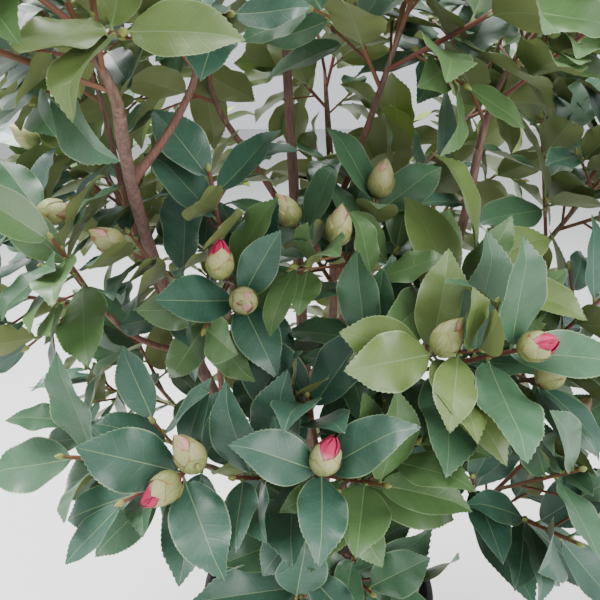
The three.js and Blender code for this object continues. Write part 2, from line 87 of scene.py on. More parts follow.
# Leaves of the growing rule
LEAVES_PER_SHOOT = 6
ROOT_OUT = 0.3
LEAF_LENGTH = (80, 110)
LEAF_WIDTH = (0.43, 0.52)
END_SHRINK = 0.22
RIDGE_HEIGHT = 1.7
RIDGE_SHARE = 0.16
LEAF_GUARD = 1.0
LEAF_WIDEST = 0.44
KITE_WIDENING = 1.16
LEAF_TILT = (76 * DEGREE, 48 * DEGREE)
LEAF_TURN_SPREAD = 24 * DEGREE
LEAF_TILT_SPREAD = 16 * DEGREE
LEAF_ROLL_SPREAD = 50 * DEGREE
LEAF_SEED_STEP = 500
LEAF_FIRST = 0.2
LEAF_LAST = 0.96
LEAF_CROWDING = 0.75
RANK_START = 0.6
LEAF_RANKS = (90 * DEGREE, 120 * DEGREE)
LIGHT_ABOVE = 0.6
LIGHT_SIDE = 0.5
LIGHT_AHEAD = 0.35
LEAF_FOLD = (0.02, 0.07)

# What a leaf tries in turn: a swing and a lean in degrees, and a share of its size
LEAF_TRIES = (
    (0, 0, 1), (15, 0, 1), (-15, 0, 1), (0, 16, 0.95), (0, -12, 0.92), (120, 4, 0.92), (-120, 4, 0.92),
    (20, 25, 0.85), (-20, 25, 0.85), (110, 15, 0.8), (-110, 15, 0.8), (0, 10, 0.7),
)

# Flower buds of the growing rule
BUD_SIDES = 5
BUD_LENGTH = 29
BUD_RADIUS = 10.5
BUD_PROFILE = ((0, -0.1), (0.85, 0.16), (0.95, 0.55), (0, 1))

# Side twigs, which carry the growth on to finer wood between the shoots. They stand on shoots and leaders
# and, in the masses whose hearts lie further back than BACK_FROM, on the limb too
SIDE_SEED_STEP = 900
SIDE_RADII = (1.3, 1.0)
SIDE_STATIONS = (0.22, 0.48, 0.74)
LEADER_STATIONS = (0.3, 0.65)
LIMB_STATIONS = (0.3, 0.45, 0.6, 0.75, 0.9)
BACK_FROM = 100
SIDE_LENGTH = (28, 56)
SIDE_TILT = 52 * DEGREE
SIDE_LEAVES = 3
SIDE_LEAF_SCALE = 0.82
SIDE_LEAF_SPAN = (0.55, 1.0)

# Each limb: its name, what it grows from and how far along that, the point it bends towards, its tip,
# and its radii at the two ends
LIMBS = (
    ("trunk", None, 0, (0, 0, 300), (-2, 0, 345), (15, 12)),
    ("stem_centre", "trunk", 0.86, (-22, -6, 640), (-38, 5, 950), (9, 4.2)),
    ("stem_left", "trunk", 0.52, (-210, 55, 675), (-142, -190, 890), (9, 4.5)),
    ("stem_right", "trunk", 0.68, (130, 10, 560), (134, -57, 850), (8, 4)),
    ("stem_back", "trunk", 0.76, (30, 120, 600), (10, 135, 840), (8, 4)),
    ("bough_low_front", "trunk", 0.8, (5, -60, 400), (0, -105, 440), (4.5, 2.9)),
    ("bough_front", "stem_centre", 0.12, (0, -110, 480), (-5, -165, 575), (4.5, 2.9)),
    ("bough_front_left", "stem_left", 0.19, (-90, -90, 520), (-100, -165, 590), (4.5, 2.9)),
    ("bough_front_right", "stem_right", 0.38, (85, -60, 560), (75, -125, 650), (4.5, 2.9)),
    ("bough_right_front", "stem_right", 0.29, (130, -50, 540), (155, -95, 620), (4.5, 2.9)),
    ("bough_right", "stem_right", 0.6, (165, -20, 665), (205, -30, 735), (4.2, 2.9)),
    ("bough_low_right", "stem_right", 0.13, (100, -60, 430), (135, -115, 500), (4.5, 2.9)),
    ("bough_low_right_back", "stem_right", 0.2, (120, 40, 460), (165, 60, 535), (4.5, 2.9)),
    ("bough_centre", "stem_centre", 0.4, (0, -45, 640), (15, -70, 690), (4, 2.9)),
    ("bough_upper_front_right", "stem_centre", 0.6, (15, -45, 800), (36, -75, 880), (4, 2.9)),
    ("bough_upper_inner_left", "stem_centre", 0.69, (-50, 0, 800), (-93, -5, 865), (4, 2.9)),
    ("bough_upper_front_left", "stem_left", 0.88, (-125, -132, 865), (-108, -126, 897), (3.6, 2.9)),
    ("bough_upper_left", "stem_left", 0.54, (-190, -20, 730), (-199, -31, 864), (4.2, 2.9)),
    ("bough_left", "stem_left", 0.49, (-185, -50, 650), (-200, -75, 690), (4, 2.9)),
    ("bough_low_left", "stem_left", 0.18, (-130, 20, 460), (-160, 15, 520), (4.5, 2.9)),
    ("bough_low_back", "stem_back", 0.17, (40, 110, 440), (50, 150, 510), (4.5, 2.9)),
    ("bough_low_back_left", "stem_left", 0.22, (-70, 60, 450), (-110, 105, 530), (4.5, 2.9)),
    ("bough_left_back", "stem_left", 0.4, (-170, 20, 640), (-195, 70, 700), (4.2, 2.9)),
    ("bough_upper_right_back", "stem_back", 0.65, (80, 100, 760), (125, 60, 830), (4, 2.9)),
    ("bough_inner_left", "stem_left", 0.31, (-120, -30, 610), (-95, -65, 690), (4, 2.9)),
    ("bough_inner", "stem_centre", 0.36, (20, 10, 640), (45, 20, 690), (4, 2.9)),
    ("bough_back_left", "stem_back", 0.41, (-70, 120, 600), (-115, 135, 690), (4.2, 2.9)),
    ("bough_back_right", "stem_back", 0.45, (90, 110, 620), (130, 120, 700), (4.2, 2.9)),
)

# Each mass: its name, the limb it ends, its heart, the number of ruled shoots, its seed,
# and, for each large bud seen from the front, its shoot's tip and the way it faces
MASSES = (
    ("low_front", "bough_low_front", (0, -155, 485), 4, 35, ()),
    ("front", "bough_front", (-5, -190, 605), 3, 166, (((-10, -256, 657), (0.3, 0, 0.92)),)),
    ("front_left", "bough_front_left", (-112, -190, 615), 2, 70, (
        ((-94, -254, 658), (-0.5, 0, 0.9)),
        ((-108, -257, 653), (-0.75, -0.56, -0.31)),
    )),
    ("front_right", "bough_front_right", (78, -150, 690), 3, 148, (((73, -216, 729), (0.55, 0.07, 0.84)),)),
    ("right_front", "bough_right_front", (170, -125, 660), 3, 37, (((162, -197, 691), (0.35, -0.05, 0.94)),)),
    ("right", "bough_right", (235, -50, 800), 4, 70, ()),
    ("low_right", "bough_low_right", (160, -155, 560), 4, 63, ()),
    ("low_right_back", "bough_low_right_back", (205, 75, 590), 4, 3, ()),
    ("centre", "bough_centre", (30, -100, 740), 3, 90, (((5, -143, 788), (0.1, 0, 0.97)),)),
    ("upper_front_right", "bough_upper_front_right", (55, -85, 945), 4, 90, ()),
    ("upper_inner_left", "bough_upper_inner_left", (-110, 15, 930), 4, 11, ()),
    ("upper_front_left", "bough_upper_front_left", (-100, -125, 960), 4, 10, ()),
    ("upper_left", "bough_upper_left", (-215, -30, 930), 4, 184, ()),
    ("left", "bough_left", (-222, -95, 740), 3, 128, (((-236, -117, 807), (0.95, -0.28, 0.11)),)),
    ("low_left", "bough_low_left", (-195, 15, 575), 3, 6, ()),
    ("low_back", "bough_low_back", (60, 190, 565), 3, 4, ()),
    ("low_back_left", "bough_low_back_left", (-125, 165, 595), 3, 1, ()),
    ("left_back", "bough_left_back", (-235, 85, 770), 4, 3, ()),
    ("upper_right_back", "bough_upper_right_back", (180, 70, 895), 4, 3, ()),
    ("inner_left", "bough_inner_left", (-85, -90, 735), 3, 40, (((-87, -156, 764), (0.05, 0.12, 0.97)),)),
    ("inner", "bough_inner", (60, 30, 765), 3, 2, ()),
    ("back_left", "bough_back_left", (-145, 160, 750), 3, 1, ()),
    ("back_right", "bough_back_right", (165, 145, 760), 3, 3, ()),
    ("upper_right", "stem_right", (150, -60, 915), 4, 7, ()),
    ("upper_back", "stem_back", (5, 155, 910), 3, 5, ()),
    ("top", "stem_centre", (-40, 5, 1020), 4, 3, ()),
    ("top_left", "stem_left", (-160, -210, 945), 4, 16, ()),
)

# The tips of the shoots whose flower buds show their petals
FLOWER_TIPS = ((-10, -256, 657), (-108, -257, 653), (162, -197, 691), (-87, -156, 764), (133, -217, 732))


def linear(colour):
    """The linear red, green and blue of an sRGB hex colour."""
    parts = [int(colour[i : i + 2], 16) / 255 for i in (1, 3, 5)]
    return tuple(c / 12.92 if c <= 0.04045 else ((c + 0.055) / 1.055) ** 2.4 for c in parts)


def smooth(t):
    """A soft step from 0 to 1."""
    t = np.clip(t, 0, 1)
    return t * t * (3 - 2 * t)


def between(ends, share):
    """The value a share of the way from the first end to the second."""
    return ends[0] + (ends[1] - ends[0]) * share


def unit(vector):
    """The same direction with a length of one."""
    return vector / math.sqrt(vector @ vector)


def cross(a, b):
    """The cross product of two single vectors."""
    return np.array((a[1] * b[2] - a[2] * b[1], a[2] * b[0] - a[0] * b[2], a[0] * b[1] - a[1] * b[0]))


def turned(direction, axis, angle):
    """A direction turned about an axis of length one."""
    cosine, sine = math.cos(angle), math.sin(angle)
    return direction * cosine + cross(axis, direction) * sine + axis * (axis @ direction) * (1 - cosine)


def square_to(axis, way=None):
    """Two directions square to an axis and to each other. Axes that share a way are squared alike."""
    way = axis if way is None else way
    reference = np.array((0.0, 1.0, 0.0) if abs(way[1]) < 0.8 else (1.0, 0.0, 0.0))
    side = unit(cross(axis, reference))
    return side, cross(side, axis)


def seeded(seed):
    """A repeatable series of numbers from 0 to 1."""
    state = seed * 7919 + 12345
    skipped = 2
    while True:
        state = (state * 1664525 + 1013904223) % 4294967296
        if skipped:
            skipped -= 1
        else:
            yield state / 4294967296


class Curve:
    """A line that bends once on its way, in millimetres."""

    STEP = 1e-4

    def __init__(self, start, end, bend=None):
        self.start, self.end = np.array(start, float), np.array(end, float)
        self.bend = (self.start + self.end) / 2 if bend is None else np.array(bend, float)

    def at(self, t):
        """The point a share t of the way along."""
        return (1 - t) ** 2 * self.start + 2 * t * (1 - t) * self.bend + t * t * self.end

    def heading(self, t):
        """The direction at a share t of the way along."""
        return unit(self.at(min(t + self.STEP, 1)) - self.at(max(t - self.STEP, 0)))

    def length(self):
        """The distance along the curve, in 20 straight steps."""
        points = np.array([self.at(i / 20) for i in range(21)])
        return float(np.linalg.norm(np.diff(points, axis=0), axis=1).sum())


@functools.cache
def tube_faces(sides, rings):
    """The triangles of a closed tube: its rings' points in order, then the middles of its two ends."""
    faces = []
    low, high = sides * (rings + 1), sides * (rings + 1) + 1
    for i in range(sides):
        j = (i + 1) % sides
        faces += [(low, j, i), (high, rings * sides + i, rings * sides + j)]
        for ring in range(rings):
            a, b = ring * sides + i, ring * sides + j
            faces += [(a, b, b + sides), (a, b + sides, a + sides)]
    return np.array(faces)


def tube_places(sides, rings):
    """A tube's skin laid out flat: shares around and along it for each corner of its triangles."""
    faces = tube_faces(sides, rings)
    ring_of, around = np.minimum(faces // sides, rings), faces % sides / sides
    past_seam = around.max(axis=1, keepdims=True) - around > 0.5
    middle = faces >= sides * (rings + 1)
    around = np.where(past_seam & ~middle, around + 1, around) * sides / (sides + 1)
    around = np.where(middle, np.sort(around, axis=1)[:, 1:2], around)
    along = np.where(faces == sides * (rings + 1), 0, ring_of / rings)
    return np.stack((around, along), -1)


def tube_points(curve, radius_at, sides, stops):
    """The points of a tube along a curve, ring by ring, then the middles of its two ends."""
    rings = []
    way = unit(curve.end - curve.start)
    for t in stops:
        side, up = square_to(curve.heading(t), way)
        middle, radius = curve.at(t), radius_at(t)
        for i in range(sides):
            angle = 2 * math.pi * i / sides
            rings.append(middle + (side * math.sin(angle) + up * math.cos(angle)) * radius)
    return np.array([*rings, curve.at(stops[0]), curve.at(stops[-1])])


@functools.cache
def tube_edges(sides, rings):
    """The pairs of points that a tube's edges join."""
    return edges_of(tube_faces(sides, rings))


def edges_of(faces):
    """Each edge of some triangles once, as pairs of point numbers."""
    return np.unique(np.sort(faces[:, ((0, 1), (1, 2), (2, 0))].reshape(-1, 2), axis=1), axis=0)


class Guard:
    """The faces and edges of a closed shape, to test whether two shapes meet."""

    def __init__(self, points, faces, edges):
        self.faces, self.edges = points[faces], points[edges]
        self.low, self.high = points.min(axis=0), points.max(axis=0)


def goes_through(edges, faces):
    """True if any of the edges goes through any of the triangles."""
    start, way = edges[:, None, 0], edges[:, None, 1] - edges[:, None, 0]
    corner = faces[None, :, 0]
    first, second = faces[None, :, 1] - corner, faces[None, :, 2] - corner
    lifted = np.cross(way, second)
    size = (first * lifted).sum(axis=-1)
    size = np.where(np.abs(size) < 1e-9, np.nan, size)
    off = start - corner
    across = (off * lifted).sum(axis=-1) / size
    twisted = np.cross(off, first)
    along = (way * twisted).sum(axis=-1) / size
    reach = (second * twisted).sum(axis=-1) / size
    inside = (across >= 0) & (along >= 0) & (across + along <= 1) & (reach >= 0) & (reach <= 1)
    return bool(inside.any())


class Space:
    """The guards placed so far."""

    def __init__(self):
        self.guards = []
        self.lows, self.highs = np.empty((0, 3)), np.empty((0, 3))

    def add(self, guard):
        """Keeps a guard's space taken."""
        self.guards.append(guard)
        self.lows = np.vstack((self.lows, guard.low))
        self.highs = np.vstack((self.highs, guard.high))

    def meets(self, guard, spared):
        """True if a guard meets any that was placed, apart from the spared one."""
        near = np.flatnonzero((self.lows <= guard.high).all(axis=1) & (self.highs >= guard.low).all(axis=1))
        others = [self.guards[i] for i in near if self.guards[i] is not spared]
        if not others:
            return False
        faces = np.concatenate([other.faces for other in others])
        edges = np.concatenate([other.edges for other in others])
        return goes_through(guard.edges, faces) or goes_through(edges, guard.faces)


class Limb:
    """A trunk, stem, bough, leader, shoot or twig: its curve and radius, and the space it keeps."""

    def __init__(self, curve, radius_at, sides, rings):
        self.curve, self.radius_at = curve, radius_at
        stops = [i / rings for i in range(rings + 1)]
        points = tube_points(curve, lambda t: radius_at(t) + TWIG_CLEARANCE, sides, stops)
        self.guard = Guard(points, tube_faces(sides, rings), tube_edges(sides, rings))
        self.budded, self.bud_way = False, curve.heading(1)


def grow_limbs():
    """The trunk, the stems and the boughs, each from the one that carries it."""
    limbs = {}
    for name, parent, at, bend, tip, (base, end) in LIMBS:
        start = limbs[parent].curve.at(at) if parent else (0, 0, SOIL_LEVEL + CLEAR)
        flare = 0 if parent else ROOT_FLARE
        sides, rings = (BOUGH_SIDES, BOUGH_RINGS) if name.startswith("bough") else (STEM_SIDES, STEM_RINGS)

        def radius_at(t, base=base, end=end, flare=flare):
            return base + (end - base) * t + flare * math.exp(-t / FLARE_SHARE)

        limbs[name] = Limb(Curve(start, tip, bend), radius_at, sides, rings)
    return limbs


def leader_of(limb, heart):
    """The twig that carries a mass's shoots, from its limb's tip to the mass's heart."""
    along = limb.curve.heading(1)
    start = limb.curve.at(1) + along * CLEAR
    bend = start + along * np.linalg.norm(start - heart) / 2
    return Limb(Curve(start, heart, bend), lambda t: between(LEADER_RADII, t), LEADER_SIDES, LEADER_RINGS)


def shoot_to(root, tip, radii=SHOOT_RADII):
    """A straight shoot."""
    return Limb(Curve(root, tip), lambda t: between(radii, t), 3, 1)


def ruled_shoot(leader, heart, station, turn, draw, taken, limb):
    """A shoot that leaves its leader by the rule, or None where none stands clear."""
    jitter = [next(draw) for _ in range(3)]
    root, axis = leader.curve.at(station), leader.curve.heading(station)
    side, _ = square_to(axis)
    outward = unit(heart * (1, 1, 0))
    tilt = between(SHOOT_TILT, station) + (jitter[0] - 0.5) * SHOOT_TILT_SPREAD
    length = between(SHOOT_LENGTH, jitter[1])
    for swing, share in SHOOT_TRIES:
        radial = turned(side, axis, turn + (jitter[2] - 0.5) * SHOOT_TURN_SPREAD + swing * DEGREE)
        way = axis * math.cos(tilt) + radial * math.sin(tilt) + outward * OUTWARD_PULL
        way = unit(way + np.array((0, 0, UPWARD_PULL)))
        shoot = shoot_to(root, root + way * length * share)
        if not taken.meets(shoot.guard, limb.guard):
            return shoot
    return None


class Mass:
    """One mass of foliage: the limb it ends, a leader, its shoots and their leaves."""

    def __init__(self, name, seed, heart, limb, leader):
        self.name, self.seed, self.heart, self.limb, self.leader = name, seed, heart, limb, leader
        self.shoots, self.twigs, self.leaves = [], [], []


def grow_twigs(limbs, taken):
    """Every mass with its leader and shoots, in the order in which they claim their space."""
    masses = []
    for name, limb_name, place, ruled, seed, heads in MASSES:
        draw, limb = seeded(seed), limbs[limb_name]
        heart = np.array(place, float)
        mass = Mass(name, seed, heart, limb, leader_of(limb, heart))
        count = ruled + len(heads)
        for k in range(count):
            station = FIRST_SHOOT + (1 - FIRST_SHOOT) * (k + 1) / count
            if k < ruled:
                shoot = ruled_shoot(mass.leader, heart, station, k * GOLDEN_ANGLE, draw, taken, limb)
            else:
                tip, facing = heads[k - ruled]
                shoot = shoot_to(mass.leader.curve.at(station), tip)
                shoot.bud_way = unit(np.array(facing, float))
            if not shoot:
                continue
            shoot.budded = k >= ruled or next(draw) < BUD_SHARE
            mass.shoots.append(shoot)
            taken.add(shoot.guard)
        taken.add(mass.leader.guard)
        masses.append(mass)
    return masses


# A leaf's plain form: the triangles between its root, its tip, its two sides and its midrib
KITE_FACES = np.array(((0, 2, 4), (2, 1, 4), (1, 3, 4), (3, 0, 4), (0, 1, 2), (1, 0, 3)))
KITE_EDGES = edges_of(KITE_FACES)


class Leaf:
    """A leaf's place and size: its root, the way to its tip, and the way its upper face looks."""

    def __init__(self, root, along, face, length, width, fold):
        self.root, self.along, self.face = root, along, face
        self.length, self.width, self.fold = length, width, fold

    def corners(self, guard=0.0):
        """Root, tip, both sides and the top of the midrib of the leaf's plain form."""
        side = cross(self.along, self.face)
        half = KITE_WIDENING * self.width / 2
        spots = (
            (1, 0, -guard),
            (LEAF_WIDEST, half, self.fold * self.length),
            (LEAF_WIDEST, -half, self.fold * self.length),
            (RIDGE_SHARE, 0, RIDGE_HEIGHT + guard),
        )
        placed = [
            self.root + self.along * share * self.length + side * across + self.face * height
            for share, across, height in spots
        ]
        return np.array([self.root, *placed])


def place_leaf(shoot, share, turn, draw, heart, taken, scale=1.0):
    """A leaf that touches nothing and stays within its mass's reach, or None."""
    jitter = [next(draw) for _ in range(6)]
    middle, axis = shoot.curve.at(share), shoot.curve.heading(share)
    side, _ = square_to(axis)
    length = between(LEAF_LENGTH, jitter[0]) * (1 - END_SHRINK * share * share) * scale
    width = between(LEAF_WIDTH, jitter[1]) * length
    fold = between(LEAF_FOLD, jitter[2])
    outward = unit(middle * (1, 1, 0)) * LIGHT_SIDE
    for swing, lean, size in LEAF_TRIES:
        radial = turned(side, axis, turn + (jitter[3] - 0.5) * LEAF_TURN_SPREAD + swing * DEGREE)
        tilt = between(LEAF_TILT, share) + (jitter[4] - 0.5) * LEAF_TILT_SPREAD + lean * DEGREE
        along = axis * math.cos(tilt) + radial * math.sin(tilt)
        light = outward + np.array((0, 0, LIGHT_ABOVE)) + axis * LIGHT_AHEAD
        light = unit(light - along * (light @ along))
        face = turned(light, along, (jitter[5] - 0.5) * LEAF_ROLL_SPREAD)
        leaf = Leaf(middle + radial * ROOT_OUT, along, face, length * size, width * size, fold)
        if (np.linalg.norm(leaf.corners() - heart, axis=1) > MASS_REACH).any():
            continue
        guard = Guard(leaf.corners(LEAF_GUARD), KITE_FACES, KITE_EDGES)
        if not taken.meets(guard, shoot.guard):
            taken.add(guard)
            return leaf
    return None


def bud_guard(shoot):
    """The space that a flower bud keeps."""
    rings = []
    for i in range(BUD_SIDES):
        angle = 2 * math.pi * i / BUD_SIDES
        rings += [
            Vector((r * BUD_RADIUS * math.sin(angle), h * BUD_LENGTH, r * BUD_RADIUS * math.cos(angle)))
            for r, h in BUD_PROFILE[1:3]
        ]
    ends = [Vector((0, h * BUD_LENGTH, 0)) for _, h in (BUD_PROFILE[0], BUD_PROFILE[3])]
    turn = Vector((0, 1, 0)).rotation_difference(Vector(shoot.bud_way))
    points = np.array([turn @ place for place in rings + ends]) + shoot.curve.at(1)
    low, high = len(rings), len(rings) + 1
    faces = []
    for i in range(BUD_SIDES):
        a, b = 2 * i, 2 * ((i + 1) % BUD_SIDES)
        faces += [(low, b, a), (high, a + 1, b + 1), (a, b, b + 1), (a, b + 1, a + 1)]
    faces = np.array(faces)
    return Guard(points, faces, edges_of(faces))


def grow_leaves(masses, taken):
    """Sets leaves along every shoot, first come, first served."""
    for shoot in (shoot for mass in masses for shoot in mass.shoots if shoot.budded):
        taken.add(bud_guard(shoot))
    for mass in masses:
        draw = seeded(mass.seed + LEAF_SEED_STEP)
        for shoot in mass.shoots:
            for k in range(LEAVES_PER_SHOOT):
                rank = ((k + RANK_START) / LEAVES_PER_SHOOT) ** LEAF_CROWDING
                share = LEAF_FIRST + (LEAF_LAST - LEAF_FIRST) * rank
                turn = LEAF_RANKS[0] + k * LEAF_RANKS[1]
                leaf = place_leaf(shoot, share, turn, draw, mass.heart, taken)
                if leaf:
                    leaf.spray = shoot
                    mass.leaves.append(leaf)


def grow_side_twigs(masses, taken):
    """Carries the growth on to finer twigs with smaller leaves, in the gaps that the shoots leave."""
    for mass in masses:
        draw = seeded(mass.seed + SIDE_SEED_STEP)
        bearers = [*((shoot, SIDE_STATIONS) for shoot in mass.shoots), (mass.leader, LEADER_STATIONS)]
        if mass.heart[1] > BACK_FROM:
            bearers.append((mass.limb, LIMB_STATIONS))
        for bearer, stations in bearers:
            for number, station in enumerate(stations):
                turn, length = next(draw) * 2 * math.pi, between(SIDE_LENGTH, next(draw))
                root, axis = bearer.curve.at(station), bearer.curve.heading(station)
                side, _ = square_to(axis)
                for swing in (0, 90, 180, 270):
                    radial = turned(side, axis, turn + swing * DEGREE)
                    way = axis * math.cos(SIDE_TILT) + radial * math.sin(SIDE_TILT)
                    twig = shoot_to(root, root + way * length, SIDE_RADII)
                    if not taken.meets(twig.guard, bearer.guard):
                        break
                else:
                    continue
                found = []
                for k in range(SIDE_LEAVES):
                    share = between(SIDE_LEAF_SPAN, k / (SIDE_LEAVES - 1))
                    turn = number + k * GOLDEN_ANGLE
                    leaf = place_leaf(twig, share, turn, draw, mass.heart, taken, SIDE_LEAF_SCALE)
                    if leaf:
                        leaf.spray = mass.leader if bearer is mass.limb else bearer
                        found.append(leaf)
                if found:
                    mass.twigs.append(twig)
                    mass.leaves += found


@functools.cache
def plant():
    """The whole plant's limbs and masses."""
    limbs = grow_limbs()
    taken = Space()
    for limb in limbs.values():
        taken.add(limb.guard)
    masses = grow_twigs(limbs, taken)
    grow_leaves(masses, taken)
    grow_side_twigs(masses, taken)
    return limbs, masses


class Patch:
    """Triangles to be joined into a piece: points in millimetres, faces, and each face's material."""

    def __init__(self, points, faces, slots=None, **maps):
        self.points, self.faces = points, faces
        self.slots = np.zeros(len(faces), int) if slots is None else slots
        self.maps = maps


def piece(name, patches, materials, replaced=()):
    """Joins patches into one object that rides with the plant."""
    offsets = np.cumsum([0] + [len(patch.points) for patch in patches[:-1]])
    points = np.concatenate([patch.points for patch in patches]) * MM
    faces = np.concatenate([patch.faces + offset for patch, offset in zip(patches, offsets)])
    mesh = bpy.data.meshes.new(name)
    mesh.from_pydata(points, [], faces)
    mesh.polygons.foreach_set("material_index", np.concatenate([patch.slots for patch in patches]))
    mesh.polygons.foreach_set("use_smooth", np.ones(len(faces), bool))
    for layer in patches[0].maps:
        corners = np.concatenate([patch.maps[layer] for patch in patches])
        mesh.uv_layers.new(name=layer).data.foreach_set("uv", corners.ravel())
    for material in materials:
        mesh.materials.append(material)
    mesh.update()
    mesh.set_sharp_from_angle(angle=CREASE)
    made = bpy.data.objects.new(name, mesh)
    bpy.context.scene.collection.objects.link(made)
    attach(made, BODY)
    if replaced:
        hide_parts(*replaced)
    return made


def add_node(tree, kind, inputs=None, **settings):
    """Adds a node with its settings, and a value or a link for each input named."""
    node = tree.nodes.new(kind)
    for name, value in settings.items():
        setattr(node, name, value)
    for name, value in (inputs or {}).items():
        if isinstance(value, bpy.types.NodeSocket):
            tree.links.new(value, node.inputs[name])
        else:
            node.inputs[name].default_value = value
    return node


def new_material(name, **sockets):
    """A material with one Principled shader; sockets are set on it by name."""
    material = bpy.data.materials.new(name)
    material.use_nodes = True
    shader = material.node_tree.nodes["Principled BSDF"]
    for socket, value in sockets.items():
        shader.inputs[socket.replace("_", " ")].default_value = value
    return material, material.node_tree, shader


def opaque(colour):
    """A colour socket's value."""
    return (*colour, 1.0)


# Leaf meshes

BLADE_STEPS = 22
PETIOLE_SHARE = 0.075
PETIOLE_STOPS = (0, 0.5, 0.85)
INNER_COLUMNS = (-0.55, 0, 0, 0.55)
RIB_COLUMNS = (1, 2)
RIB_HALF = 0.42
BLADE_HALF = 0.22
TOOTH_OUT = 0.24
TOOTH_FORWARD = 0.3
BAKE_TILE = 0.62
OUTLINE_SEED_STEP = 2000

# The least and most of a leaf's bow, its tip's droop, its twist, its wave, the wave's start and its camber
LEAF_SPANS = ((-0.04, 0.06), (0.0, 0.13), (-0.45, 0.45), (0.02, 0.12), (0, 1), (-0.03, 0.06))

# The number of the first upper green among a foliage piece's materials
FIRST_GREEN = 2
UPPER, UNDER, RIB = 0, 1, 2


def blade_stops():
    """Shares of the leaf's length at its rows, from the petiole's root to the tip."""
    petiole = [share * PETIOLE_SHARE for share in PETIOLE_STOPS]
    blade = [PETIOLE_SHARE + (1 - PETIOLE_SHARE) * i / BLADE_STEPS for i in range(BLADE_STEPS + 1)]
    return np.array(petiole + blade)


@functools.cache
def leaf_faces():
    """The triangles of a leaf, each one's material, and 0 or 1 for its upper or under side."""
    rows, columns = len(blade_stops()), len(INNER_COLUMNS)
    grid = np.arange(rows * columns).reshape(rows, columns)
    upper, under = grid, grid + grid.size
    margins = 2 * grid.size + np.arange(2 * (2 * rows - 1)).reshape(2, -1)
    faces, materials, sides = [], [], []

    def put(triangles, material, side):
        for triangle in triangles:
            faces.append(triangle if side == 0 else triangle[::-1])
            materials.append(material)
            sides.append(side)

    for side, net in enumerate((upper, under)):
        blade = UPPER if side == 0 else UNDER
        for i in range(rows - 1):
            petiole = i < len(PETIOLE_STOPS)
            for c in range(columns - 1):
                a, b, d, e = net[i, c], net[i + 1, c], net[i + 1, c + 1], net[i, c + 1]
                rib = petiole or c == (columns - 2) // 2
                put(((a, b, d), (a, d, e)), RIB if rib else blade, side)
            low, mid, high = margins[0, 2 * i : 2 * i + 3]
            a, b = net[i, 0], net[i + 1, 0]
            put(((low, mid, a), (mid, b, a), (mid, high, b)), RIB if petiole else blade, side)
            low, mid, high = margins[1, 2 * i : 2 * i + 3]
            a, b = net[i, -1], net[i + 1, -1]
            put(((a, mid, low), (a, b, mid), (b, high, mid)), RIB if petiole else blade, side)
    for row, end, side in ((0, 0, 0), (rows - 1, -1, 1)):
        left, right = margins[0, end], margins[1, end]
        ring = [(left, upper[row, 0], under[row, 0]), (upper[row, -1], right, under[row, -1])]
        for c in range(columns - 1):
            a, b, d, e = upper[row, c], upper[row, c + 1], under[row, c + 1], under[row, c]
            ring += [(a, b, d), (a, d, e)]
        put(ring, RIB, side)
    return np.array(faces), np.array(materials), np.array(sides)


